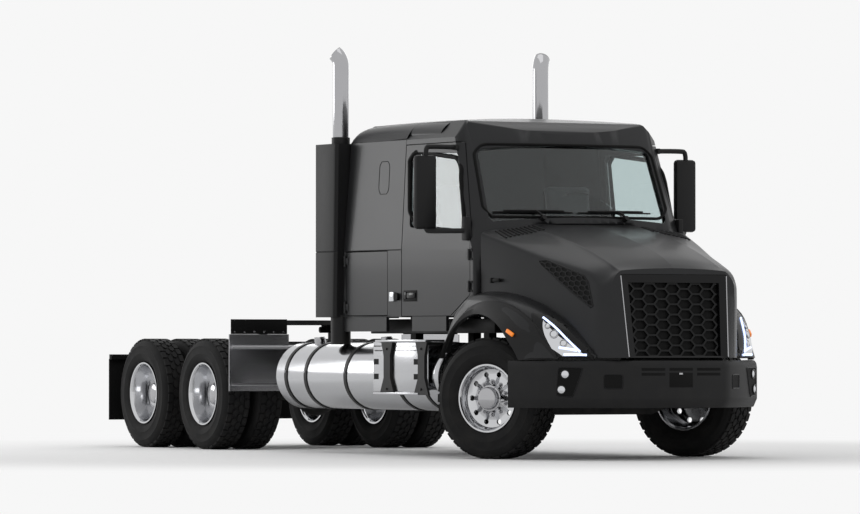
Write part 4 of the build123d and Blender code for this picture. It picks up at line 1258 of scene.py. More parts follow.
    def lamps(self) -> None:
        """Lay each headlamp on its fender: dark glass, light strips and projectors."""
        housing, glow, rings, lenses = bmesh.new(), bmesh.new(), bmesh.new(), bmesh.new()
        edge, bowls = bmesh.new(), bmesh.new()
        for side, _ in SIDES:
            join(housing, self.laid(trimmed_patch(self.lamp_outline, 0.02), side, 0.004, 0.004))
            join(bowls, self.laid(trimmed_patch(self.bowl_outline, 0.02), side, 0.012, 0.003))
            rim = closed_path(self.lamp_outline, 5, 0.004)
            tube_along(edge, self.skin.drape(HOOD_FORM, side, rim), 0.005)
            for strip in self.strips:
                tube_along(glow, self.skin.drape(HOOD_FORM, side, strip, 0.015), 0.010)
            for x, z, radius in self.projectors:
                place, normal = self.skin.side(HOOD_FORM, side, x, z)
                place += normal * 0.015
                ring = [
                    (radius, -0.004), (radius + 0.006, -0.002), (radius + 0.006, 0.004),
                    (radius, 0.006),
                ]
                dome = [
                    (0.0, 0.009), (radius * 0.5, 0.008), (radius * 0.85, 0.004), (radius, -0.003),
                ]
                stand(rings, spun(ring, 28), place, normal)
                stand(lenses, spun(dome, 28, closed=False), place, normal)
        self.bench.piece("lamp_housings", housing, Finish.GLOSS_BLACK, "hood", ["headlamps"])
        self.bench.piece("lamp_bowls", bowls, Finish.REFLECTOR, "hood")
        self.bench.piece("lamp_edges", edge, Finish.RUBBER_AND_SHADE, "hood")
        self.bench.piece("running_lights", glow, Finish.LED, "hood")
        self.bench.piece("lamp_rings", rings, Finish.CHROME, "hood")
        self.bench.piece("lamp_projectors", lenses, Finish.REFLECTOR, "hood")

    def vents(self) -> None:
        """Let a dark mesh with a painted lower edge into each side of the hood, over a dark sheet of
        painted shade for the opening behind it.
        """
        vent_shade, nets, trims = bmesh.new(), bmesh.new(), bmesh.new()
        outline = [ahead(x, 0, z) for x, z in self.vent_outline]
        middle = ahead(self.vent_middle[0], 0, self.vent_middle[1])
        lean = Matrix.Rotation(math.radians(18), 4, "Y") @ Matrix.Rotation(math.pi / 2, 4, "X")
        for side, _ in SIDES:
            # dark sheet under the mesh: painted shade for the opening behind the vent
            join(vent_shade, self.laid(trimmed_patch(self.vent_outline, 0.03), side, 0.0015, 0.002))
            net = hex_net(8, 9, 0.084, 0.046, 0.0045)
            bmesh.ops.transform(net, verts=net.verts, matrix=Matrix.Translation(middle) @ lean)
            clip(net, outline, middle, Vector((0, 1, 0)))
            join(nets, self.laid(net, side, 0.006, 0.003))
            rim = closed_path(self.vent_outline, 6, 0.006)
            tube_along(nets, self.skin.drape(HOOD_FORM, side, rim), 0.006)
            edge = [(x, z - 0.012) for x, z in self.vent_edge]
            tube_along(trims, self.skin.drape(HOOD_FORM, side, edge), 0.006)
        self.bench.piece("vent_back_shade", vent_shade, Finish.RUBBER_AND_SHADE, "hood")
        self.bench.piece("vent_mesh", nets, Finish.PLASTIC, "hood")
        self.bench.piece("vent_trims", trims, Finish.PAINT, "hood")

    def flares(self) -> None:
        """Sweep a broad dark flare round each front arch."""
        (ax, az, inner), (bx, bz, outer) = self.arch, self.flare
        tree = self.skin.tree(HOOD_FORM)
        for side, hand in SIDES:
            rows = []
            for step in range(self.flare_steps + 1):
                turn = math.radians(152 - 125 * step / self.flare_steps)
                near = (ax + inner * math.cos(turn), az + inner * math.sin(turn))
                far = (bx + outer * math.cos(turn), bz + outer * math.sin(turn))
                mid = ((near[0] + far[0]) / 2, (near[1] + far[1]) / 2)
                pull = max(0.0, near[0] - 0.56) * 0.34
                start = ahead(far[0], side * 3, max(far[1], 0.890))
                laid, _, _, _ = tree.ray_cast(start, Vector((0, -side, 0)))
                if laid is None:
                    laid, _, _, _ = tree.find_nearest(ahead(far[0], side * 1.25, far[1]))
                edge, lip = abs(laid.y), 1.232 - pull
                rows.append([(x, side * y, z) for (x, z), y in (
                    (near, 1.190 - pull), (near, lip), (mid, (lip + edge) / 2 + 0.022),
                    (far, edge + 0.016), (far, edge - 0.004),
                )])
            sheet = walled(lofted(rows), self.hood_wall)
            names = ["fender_flares"] if side > 0 else []
            self.bench.piece(f"flare_{hand}", sheet, Finish.PLASTIC, "hood", names)

    def markers(self) -> None:
        """Set an amber lamp on the front of each flare."""
        shape = bmesh.new()
        for side, _ in SIDES:
            lean = Matrix.Rotation(math.radians(30), 3, "Y")
            turn = Matrix.Rotation(side * math.radians(-19), 3, "Z") @ lean
            box(shape, ahead(0.60, side * 1.222, 1.100), (0.085, 0.022, 0.034), 0.006, turn)
        self.bench.piece("flare_markers", shape, Finish.AMBER, "hood")

    def grille_point(self, y: float, share: float, out: float) -> Vector:
        """Give a place on the grille's frame: across, share of the height, and out of its face."""
        foot = ahead(self.grille_foot[0], y, self.grille_foot[1])
        head = ahead(self.grille_head[0], y, self.grille_head[1])
        rise = head - foot
        normal = Vector((rise.z, 0, -rise.x)).normalized()
        return foot + rise * share + normal * out

    def grille(self) -> None:
        """Make the surround, the net of long hexagons and the mouldings, with a dark plate of painted
        shade behind the net.
        """
        at = self.grille_point
        outer, inner = self.grille_outside, self.grille_opening
        frame = bmesh.new()
        for (a, b), (c, d) in zip(
            zip(outer, [*outer[1:], outer[0]]), zip(inner, [*inner[1:], inner[0]]),
        ):
            ring = [at(*a, -0.002), at(*b, -0.002), at(*d, -0.012), at(*c, -0.012)]
            plate(frame, ring, at(0, 0, -0.06) - at(0, 0, 0))
        self.bench.piece("grille_surround", frame, Finish.GLOSS_BLACK, "hood", ["grille"], flat=True)
        net = hex_net(5, 6, 0.155, 0.0895, 0.0080)
        up = (at(0, 1, 0) - at(0, 0, 0)).normalized()
        out = (at(0, 0, 1) - at(0, 0, 0)).normalized()
        place = Matrix((Vector((0, 1, 0)), up, out)).transposed().to_4x4()
        place.translation = at(0, self.grille_middle, -0.034)
        bmesh.ops.transform(net, matrix=place, verts=net.verts)
        clip(net, [at(y, s, 0) for y, s in inner], at(0, self.grille_middle, 0), out)
        self.bench.piece("grille_net", walled(net, 0.014), Finish.GLOSS_BLACK, "hood", flat=True)
        # dark plate behind the net: painted shade for the space behind the grille
        screen = bmesh.new()
        plate(screen, [at(y, s, -0.058) for y, s in inner], out * -0.002)
        self.bench.piece("grille_back_shade", screen, Finish.RUBBER_AND_SHADE, "hood")
        bright = bmesh.new()
        for side in (-1, 1):
            tube_along(bright, [at(side * y, s, 0.0) for y, s in self.grille_edge], 0.005)
        self.bench.piece("grille_moulding", bright, Finish.CHROME, "hood")

    def bumper_row(self, height: float, inset: float) -> Row:
        """Give half of the bumper's plan at a height, drawn in by inset."""
        return [(x - inset, y - (inset * 0.6 if y else 0), height) for x, y in self.bumper_plan]

    def corner_axes(self, side: int) -> tuple[Vector, Vector]:
        """Give the outward direction of the bumper's slanted corner, and the way along it."""
        forth, apart = self.corner_facing
        outward = Vector((forth, side * apart, 0)).normalized()
        return outward, Vector((-apart, side * forth, 0)).normalized()

    def corner_spot(self, side: int, reach: float, height: float, out: float) -> Vector:
        """Give a place on the slanted corner: along it, its height, and out of its face."""
        outward, along = self.corner_axes(side)
        foot = ahead(self.corner_foot[0], side * self.corner_foot[1], 0)
        return foot + along * reach + Vector((0, 0, height)) + outward * out

    def bumper_shell(self) -> None:
        """Make the faceted bumper with its sill."""
        half = bmesh.new()
        verts: list = []
        for height, inset in self.bumper_levels:
            line = [half.verts.new(ahead(*place)) for place in self.bumper_row(height, inset)]
            for k in range(len(line) - 1):
                if verts:
                    half.faces.new((verts[k], verts[k + 1], line[k + 1], line[k]))
            verts = line
        join(half, mirrored(half))
        shell = walled(half, 0.02)
        self.bench.piece("bumper_shell", shell, Finish.PLASTIC, "chassis", ["front_bumper"])

    def bumper_fittings(self) -> None:
        """Set dark plates of painted shade for the slots, windows and pockets on the bumper's face,
        with bezels and fog lamps.
        """
        pocket_shade, bezels, bowls = bmesh.new(), bmesh.new(), bmesh.new()
        # dark plates of painted shade in place of the slots and the window
        for y, z, width, height in self.bumper_slots:
            box(pocket_shade, ahead(1.4352, y, z), (0.002, width, height), 0.0008)
        for side, _ in SIDES:
            outward, _ = self.corner_axes(side)
            for outline in self.corner_pockets:
                # a dark plate of painted shade in place of the pocket's hollow
                face = [self.corner_spot(side, r, h, -0.0005) for r, h in outline]
                plate(pocket_shade, face, outward * 0.0015)
                rim = closed_path(outline, 3, 0.012)
                tube_along(bezels, [self.corner_spot(side, r, h, 0.001) for r, h in rim], 0.0045)
            for reach, height in self.fog_lamps:
                ring = spun([(0.034, 0.0), (0.042, 0.0), (0.043, 0.006), (0.035, 0.008)], 24)
                stand(bezels, ring, self.corner_spot(side, reach, height, 0.001), outward)
                dome = spun([(0.0, 0.009), (0.018, 0.007), (0.034, 0.001)], 24, closed=False)
                stand(bowls, dome, self.corner_spot(side, reach, height, 0.002), outward)
        self.bench.piece("bumper_pocket_shade", pocket_shade, Finish.RUBBER_AND_SHADE, "chassis")
        self.bench.piece("bumper_bezels", bezels, Finish.GLOSS_BLACK, "chassis")
        self.bench.piece("fog_lamp_bowls", bowls, Finish.REFLECTOR, "chassis")

    def latches(self) -> None:
        """Set a rubber latch and its keeper low on each side of the hood's rear edge."""
        shape = bmesh.new()
        for side, _ in SIDES:
            place, normal = self.skin.side(HOOD_FORM, side, 0.02, 1.56)
            box(shape, place + normal * 0.012, (0.13, 0.024, 0.03), 0.006)
            box(shape, place + normal * 0.016 + Vector((-0.07, 0, 0)), (0.03, 0.03, 0.045), 0.006)
        self.bench.piece("hood_latches", shape, Finish.RUBBER_AND_SHADE, "hood")

    def cowl(self) -> None:
        """Lay dark louvres on the hood's rear shoulders."""
        shape = bmesh.new()
        tree = self.skin.tree(HOOD_FORM)
        for side, _ in SIDES:
            for across in range(10):
                y = side * (0.56 + across * 0.042)
                line = [
                    tree.ray_cast(ahead(x, y, 4), Vector((0, 0, -1)))[0] + Vector((0, 0, 0.001))
                    for x in (-0.15, -0.05, 0.05)
                ]
                tube_along(shape, line, 0.010)
        self.bench.piece("cowl_louvres", shape, Finish.PLASTIC, "hood")

    def build(self) -> None:
        """Make the whole nose."""
        self.hood()
        self.lamps()
        self.vents()
        self.flares()
        self.markers()
        self.grille()
        self.bumper_shell()
        self.bumper_fittings()
        self.latches()
        self.cowl()


# ---- cab: seals, wipers, handles ------------------------------------------------------
@dataclass
class CabTrim:
    """Window seals, wipers, handles and small lamps of the cab and sleeper."""

    bench: Bench
    skin: Skin
    # (ahead, height)
    window: tuple = ((-1.530, 2.740), (-1.466, 2.057), (-0.440, 1.990), (-0.610, 2.646))
    cap_foot: float = 2.842
    # half width, then height behind (full) and over the windscreen (lean)
    cap_section: tuple = (
        (0.0, 3.034, 3.034), (0.35, 3.032, 3.030), (0.65, 3.022, 3.018), (0.82, 3.008, 3.004),
        (0.905, 2.988, 2.981), (0.965, 2.952, 2.931), (1.006, 2.900, 2.884),
        (1.027, 2.842, 2.866),
    )
    # distance ahead, crown height, share of the full section
    sleeper_rows: tuple = (
        (-1.606, 3.034, 0.5), (-2.100, 3.032, 1.0), (-2.450, 3.026, 1.0), (-2.580, 3.014, 1.0),
        (-2.635, 2.994, 1.0), (-2.662, 2.955, 1.0), (-2.672, 2.900, 1.0), (-2.674, 2.843, 1.0),
    )
    belt_height: float = 1.852
    # (ahead, height)
    blank_outline: tuple = ((-2.086, 2.362), (-1.896, 2.362), (-1.896, 2.657), (-2.086, 2.657))
    # as sleeper_rows
    cab_rows: tuple = ((-1.040, 3.026, 0.0), (-1.300, 3.033, 0.3), (-1.602, 3.034, 0.5))
    # (across, height)
    screen: tuple = ((-0.950, 2.125), (0.950, 2.125), (0.914, 2.775), (-0.914, 2.775))

    def seals(self) -> None:
        """Lay a rubber seal round the windscreen and each door window."""
        for side, hand in SIDES:
            nodes = (f"door_{hand}", f"door_glass_{hand}")
            shape = bmesh.new()
            path = closed_path(self.window, 10, 0.09)
            tube_along(shape, self.skin.drape(nodes, side, path), 0.021)
            self.bench.piece(f"window_seal_{hand}", shape, Finish.RUBBER_AND_SHADE, f"door_{hand}")
        shape = bmesh.new()
        nodes = ("cab_shell", "windshield")
        path = closed_path(self.screen, 14, 0.08)
        tube_along(shape, [self.skin.front(nodes, y, z)[0] for y, z in path], 0.014)
        self.bench.piece("windscreen_seal", shape, Finish.RUBBER_AND_SHADE, "chassis")

    def wipers(self) -> None:
        """Lay two blades along the foot of the windscreen, with their arms."""
        shape = bmesh.new()
        nodes = ("cab_shell", "windshield")
        for pivot, start, end in ((-0.42, -0.86, -0.10), (0.42, -0.04, 0.74)):
            count = 9
            blade = []
            for k in range(count):
                y = start + (end - start) * k / (count - 1)
                place, normal = self.skin.front(nodes, y, 2.165)
                blade.append(place + normal * 0.012)
            tube_along(shape, blade, 0.007)
            tube_along(shape, [p + Vector((0.012, 0, 0.012)) for p in blade[1:-1]], 0.009)
            root, normal = self.skin.front(nodes, pivot, 2.105)
            middle = blade[count // 2] + Vector((0.02, 0, 0.015))
            bend = (root + middle) / 2 + normal * 0.045
            tube_along(shape, [root + normal * 0.03, bend, middle], 0.010)
            rod(shape, root - normal * 0.02, root + normal * 0.05, 0.022, 16)
        self.bench.piece("wiper_set", shape, Finish.PLASTIC, "chassis", ["wipers"])

    def handles(self) -> None:
        """Set a dark plate with a paddle on each door, and a lock beside it; the plate is the black
        handle cup with painted shade of its recess.
        """
        for side, hand in SIDES:
            cup_and_shade, paddle = bmesh.new(), bmesh.new()
            place, _ = self.skin.side((f"door_{hand}",), side, -1.435, 1.50)
            wall = abs(place.y)
            # dark plate: the black handle cup, darkened with painted shade of its recess
            box(cup_and_shade, ahead(-1.435, side * wall, 1.435), (0.25, 0.006, 0.10), 0.002)
            box(paddle, ahead(-1.405, side * (wall + 0.008), 1.440), (0.15, 0.014, 0.046), 0.005)
            box(paddle, ahead(-1.515, side * (wall + 0.006), 1.440), (0.035, 0.012, 0.06), 0.004)
            self.bench.piece(f"handle_cup_and_shade_{hand}", cup_and_shade, Finish.RUBBER_AND_SHADE, f"door_{hand}")
            self.bench.piece(f"door_handle_{hand}", paddle, Finish.GLOSS_BLACK, f"door_{hand}")

    def side_lamps(self) -> None:
        """Set a small clear lamp and a round latch on each sleeper side."""
        lamp, latch = bmesh.new(), bmesh.new()
        for side, _ in SIDES:
            place, normal = self.skin.side(("sleeper_shell",), side, -1.760, 1.43)
            box(lamp, place + normal * 0.010, (0.085, 0.024, 0.085), 0.006)
            place, normal = self.skin.side(("sleeper_shell",), side, -1.67, 1.43)
            rod(latch, place, place + normal * 0.024, 0.034, 20)
        self.bench.piece("side_lamps", lamp, Finish.REFLECTOR, "chassis")
        self.bench.piece("side_latches", latch, Finish.RUBBER_AND_SHADE, "chassis")

    def cap(self, name: str, rows: Sequence[Sequence[float]], lowest: float) -> None:
        """Make one roof cap, which stays high up to its rounded edges.

        Args:
            name: the piece's name.
            rows: distance ahead, crown height and share of the full section.
            lowest: height of the cap's lower edge.
        """
        lines = []
        for x, crown, full in rows:
            share = (crown - self.cap_foot) / (self.cap_section[0][1] - self.cap_foot)
            lines.append([
                (x, min(y, 0.992) if lowest > self.cap_foot else y,
                 max(lowest, self.cap_foot + (lean + (whole - lean) * full - self.cap_foot) * share))
                for y, whole, lean in self.cap_section
            ])
        half = lofted(lines, along=3, across=2)
        join(half, mirrored(half))
        self.bench.piece(name, walled(half, 0.004), Finish.PAINT, "chassis")

    def seams(self) -> None:
        """Draw the sleeper's belt seam and the outline of its blank panel."""
        shape = bmesh.new()
        nodes = ("sleeper_shell", "luggage_door_left", "luggage_door_right")
        for side, _ in SIDES:
            belt = [(x, self.belt_height) for x in (-2.62, -2.3, -2.0, -1.75, -1.62)]
            tube_along(shape, self.skin.drape(nodes, side, belt), 0.005)
            ring = closed_path(self.blank_outline, 4, 0.035)
            tube_along(shape, self.skin.drape(nodes, side, ring), 0.0032)
        self.bench.piece("sleeper_seams", shape, Finish.RUBBER_AND_SHADE, "chassis")

    def build(self) -> None:
        """Make all cab trim."""
        self.seals()
        self.wipers()
        self.handles()
        self.side_lamps()
        self.cap("sleeper_cap", self.sleeper_rows, 2.842)
        self.cap("cab_cap", self.cab_rows, 2.866)
        self.seams()


@dataclass
class Mirrors:
    """The two tall mirrors on their bent arms."""

    bench: Bench
    middle: tuple[float, float, float] = (-0.700, 1.345, 2.345)
    size: tuple[float, float, float] = (0.090, 0.212, 0.656)
    # (half width, height), and (ahead, half width, height)
    upper_arm: tuple = ((1.035, 2.745), (1.16, 2.748), (1.30, 2.748), (1.345, 2.742), (1.345, 2.66))
    lower_arm: tuple = (
        (-0.39, 1.082, 2.0), (-0.42, 1.16, 2.0), (-0.66, 1.31, 2.0), (-0.69, 1.335, 2.005),
        (-0.69, 1.335, 2.04),
    )
    # height above the middle, and height, of each glass
    glasses: tuple = ((0.09, 0.42), (-0.22, 0.16))

    def build(self) -> None:
        """Make both mirrors."""
        x, y, z = self.middle
        depth, width, height = self.size
        glass_x = x - depth / 2 + 0.006
        for side, hand in SIDES:
            shell = bmesh.new()
            box(shell, ahead(x + 0.004, side * y, z), (depth - 0.012, width, height), 0.03)
            arms = bmesh.new()
            tube_along(arms, [ahead(x + 0.02, side * w, h) for w, h in self.upper_arm], 0.022)
            tube_along(arms, [ahead(a, side * w, h) for a, w, h in self.lower_arm], 0.022)
            box(arms, ahead(-0.395, side * 1.095, 2.02), (0.095, 0.05, 0.21), 0.012)
            box(arms, ahead(x + 0.02, side * 1.045, 2.745), (0.07, 0.03, 0.05), 0.006)
            join(shell, arms)
            body = f"door_{hand}"
            name = f"mirror_{hand}"
            self.bench.piece(f"mirror_shell_{hand}", shell, Finish.PLASTIC, body, [name])
            glass = bmesh.new()
            for rise, tall in self.glasses:
                box(glass, ahead(glass_x, side * y, z + rise), (0.006, 0.18, tall), 0.002)
            self.bench.piece(f"mirror_glass_{hand}", glass, Finish.CHROME, body)


# ---- chassis details ---------------------------------------------------------
@dataclass
class Chassis:
    """Tow pin, steps, rear fenders, stack shields, bolts, rear lamps and tank fittings."""

    bench: Bench
    skin: Skin
    crossmembers: tuple = (-1.5, -2.6, -3.7, -4.6, -5.95, -7.05)
    rail_side: float = 0.432
    stack_place: tuple[float, float] = (-2.81, 1.06)
    stack_pipe: float = 0.0742
    fender_x: float = -5.95 + 0.645 + 0.6
    fender_heights: tuple[float, float] = (0.56, 1.098)
    # lower and upper end, radius and height of the stack's collar and foot
    stack_rings: tuple = ((-0.035, 0.035, 0.0845, 2.865), (-0.14, 0.13, 0.092, 1.14))
    shield_levels: tuple = (1.250, 1.842, 1.850, 1.858, 2.840)
    tail_lamps: tuple = (-0.35, -0.235, 0.235, 0.35)
    # half width and height of a step bracket's outline
    bracket_outline: tuple = (
        (-0.09, 0.55), (0.09, 0.55), (0.04, 0.7), (0.04, 0.9), (0.07, 1.02), (-0.07, 1.02),
        (-0.04, 0.9), (-0.04, 0.7),
    )

    def tow_pin(self) -> None:
        """Stand the tow pin in the bumper's middle window."""
        shape = bmesh.new()
        rod(shape, ahead(1.418, 0, 0.632), ahead(1.418, 0, 0.752), 0.013, 16)
        rod(shape, ahead(1.418, 0, 0.74), ahead(1.418, 0, 0.754), 0.026, 16)
        box(shape, ahead(1.412, 0, 0.66), (0.016, 0.17, 0.03), 0.004)
        self.bench.piece("tow_pin", shape, Finish.ZINC, "chassis")

    def steps(self) -> None:
        """Make the step panel, its treads with dark discs and slots of painted shade in place of their
        holes, and its waisted brackets.
        """
        panel, hole_shade, brackets = bmesh.new(), bmesh.new(), bmesh.new()
        for side, _ in SIDES:
            box(panel, ahead(-1.33, side * 1.15, 1.032), (0.94, 0.2, 0.02), 0.004)
            box(panel, ahead(-1.37, side * 1.219, 0.80), (1.02, 0.006, 0.444), 0.002)
            box(panel, ahead(-1.42, side * 1.226, 0.56), (0.84, 0.048, 0.02), 0.004)
            face = side * 1.2225
            # dark discs and slots: painted shade in place of the holes through the step
            for row, level in enumerate((0.985, 0.945)):
                for column in range(40):
                    x = -1.86 + 0.0245 * column + 0.012 * row
                    rod(hole_shade, ahead(x, face, level), ahead(x, face + side * 0.0004, level), 0.007, 8)
            for x in (-1.825, -1.08):
                for level in (0.845, 0.712):
                    box(hole_shade, ahead(x, face, level), (0.085, 0.001, 0.05))
            for column in range(18):
                x = -1.76 + 0.049 * column
                for y in (1.12, 1.19):
                    rod(hole_shade, ahead(x, side * y, 1.042), ahead(x, side * y, 1.0424), 0.012, 8)
            for x in (-1.587, -0.95):
                outline = [ahead(x + w * 1.5, side * 1.223, h) for w, h in self.bracket_outline]
                plate(brackets, outline, Vector((0, side * 0.021, 0)))
                for height in (0.60, 0.96):
                    foot = ahead(x, side * 1.244, height)
                    hex_bolt(brackets, foot, Vector((0, side, 0)), 0.018, 0.010)
                box(brackets, ahead(x, side * 1.12, 1.008), (0.1, 0.19, 0.026), 0.003)
        self.bench.piece("step_panels", panel, Finish.POLISHED, "chassis", ["cab_steps"])
        self.bench.piece("step_hole_shade", hole_shade, Finish.RUBBER_AND_SHADE, "chassis")
        self.bench.piece("step_brackets", brackets, Finish.FRAME_BLACK, "chassis")

    def fenders(self) -> None:
        """Make the quarter fenders: sheet, upper flap, tubes and bolts."""
        x = self.fender_x
        low, high = self.fender_heights
        sheet, flap, tubes = bmesh.new(), bmesh.new(), bmesh.new()
        for side, _ in SIDES:
            outline = [(0.612, low), (1.25, low), (1.25, high), (0.612, high)]
            plate(sheet, [ahead(x - 0.0025, side * y, z) for y, z in outline], Vector((0.005, 0, 0)))
            box(flap, ahead(x, side * 0.93, 1.17), (0.008, 0.6, 0.141), 0.002)
            tube_along(tubes, [ahead(x + 0.02, side * y, 0.975) for y in (0.432, 0.8, 1.235)], 0.02)
            tube_along(tubes, [ahead(x + 0.02, side * y, 0.62) for y in (0.62, 0.9, 1.235)], 0.012)
            rod(tubes, ahead(x, side * 1.245, low), ahead(x, side * 1.245, high), 0.006, 10)
            for step in range(6):
                y = side * (0.67 + 0.104 * step)
                hex_bolt(tubes, ahead(x + 0.004, y, 1.12), Vector((1, 0, 0)), 0.014, 0.008)
        self.bench.piece(
            "fender_sheets", sheet, Finish.STAINLESS, "chassis", ["quarter_fenders"], flat=True,
        )
        self.bench.piece("fender_flaps", flap, Finish.RUBBER_AND_SHADE, "chassis")
        self.bench.piece("fender_tubes", tubes, Finish.CHROME, "chassis")

    def shield_row(self, side: int, z: float) -> Row:
        """Give the plan of a stack shield at a height: inner edge, outer face and front return."""
        front = -2.748 + (z - 1.25) * 0.025
        return [(x, side * y, z) for x, y in (
            (-3.100, 0.960), (-3.100, 1.150), (-3.090, 1.172), (-3.070, 1.178), (front - 0.02, 1.178),
            (front, 1.172), (front + 0.018, 1.145), (front + 0.018, 0.960))]

    def stacks(self) -> None:
        """Wrap each stack in a lidded dark shield, and give it a collar and a foot."""
        collars, shields = bmesh.new(), bmesh.new()
        x, y = self.stack_place
        pipe = self.stack_pipe
        for side, _ in SIDES:
            for low, high, radius, level in self.stack_rings:
                ring = spun([(pipe, low), (radius, low), (radius, high), (pipe, high)], 40)
                bmesh.ops.translate(ring, vec=ahead(x, side * y, level), verts=ring.verts)
                join(collars, ring)
            rows = [self.shield_row(side, z) for z in self.shield_levels]
            rows[2] = [(a, b - side * 0.006, z) for a, b, z in rows[2]]
            join(shields, walled(lofted(rows), 0.008))
            lid = ((-3.095, 0.962), (-3.095, 1.170), (-2.740, 1.170), (-2.740, 0.962))
            plate(shields, [ahead(a, side * b, 2.822) for a, b in lid], Vector((0, 0, 0.006)))
        self.bench.piece("stack_collars", collars, Finish.FRAME_BLACK, "chassis")
        self.bench.piece("shield_panels", shields, Finish.PLASTIC, "chassis", ["stack_shields"])

    def underbody(self) -> None:
        """Run the cab's dark bearers between the skirts."""
        shape = bmesh.new()
        for side, _ in SIDES:
            box(shape, ahead(-1.45, side * 0.80, 1.165), (2.30, 0.12, 0.13), 0.006)
        for x in (-0.5, -1.45, -2.4):
            box(shape, ahead(x, 0, 1.165), (0.12, 1.6, 0.10), 0.006)
        self.bench.piece("cab_bearers", shape, Finish.FRAME_BLACK, "chassis")

    def bolts(self) -> None:
        """Bolt the crossmembers and the coupling's base to the rails."""
        shape = bmesh.new()
        for side, _ in SIDES:
            outward = Vector((0, side, 0))
            for x in self.crossmembers:
                for dx in (-0.05, 0.05):
                    for height in (0.78, 0.86, 0.94):
                        foot = ahead(x + dx, side * self.rail_side, height)
                        hex_bolt(shape, foot, outward, 0.024, 0.016)
            for step in range(5):
                x = -6.05 + 0.18 * step
                hex_bolt(shape, ahead(x, side * 0.39, 1.03), Vector((0, 0, 1)), 0.026, 0.018)
        self.bench.piece("frame_bolts", shape, Finish.ZINC, "chassis")

    def tail(self) -> None:
        """Set the tail lamps' rings and lenses."""
        rings, lenses = bmesh.new(), bmesh.new()
        ring = [(0.0465, 0.0), (0.055, 0.0), (0.055, 0.012), (0.0465, 0.012)]
        lens = [(0.0, 0.02), (0.03, 0.018), (0.046, 0.008), (0.046, 0.0), (0.0, 0.0)]
        for y in self.tail_lamps:
            place, rearward = Vector((-4.31, y, 0.782)), Vector((-1, 0, 0))
            stand(rings, spun(ring, 32), place, rearward)
            stand(lenses, spun(lens, 32, closed=False), place, rearward)
        self.bench.piece("tail_lamp_rings", rings, Finish.RUBBER_AND_SHADE, "chassis")
        self.bench.piece("tail_lamp_lenses", lenses, Finish.RED, "chassis")

    def straps(self) -> None:
        """Put tightening bolts on the tank straps and a filler cap on each tank."""
        bolts, caps = bmesh.new(), bmesh.new()
        for side, _ in SIDES:
            for x in (-3.64, -3.25, -2.47):
                hex_bolt(bolts, ahead(x, side * 1.2, 0.75), Vector((0, side, 0)), 0.016, 0.012)
            for x in (-3.45, -2.15):
                foot = ahead(x, side * 0.93, 1.0)
                rod(caps, foot, foot + Vector((0, side * 0.01, 0.055)), 0.055, 28)
                neck = foot + Vector((0, side * 0.01, 0.05))
                rod(caps, neck, foot + Vector((0, side * 0.012, 0.07)), 0.048, 28)
        self.bench.piece("strap_bolts", bolts, Finish.ZINC, "chassis")
        self.bench.piece("tank_caps", caps, Finish.CHROME, "chassis")

    def build(self) -> None:
        """Make all chassis details."""
        self.tow_pin()
        self.steps()
        self.fenders()
        self.stacks()
        self.underbody()
        self.bolts()
        self.tail()
        self.straps()


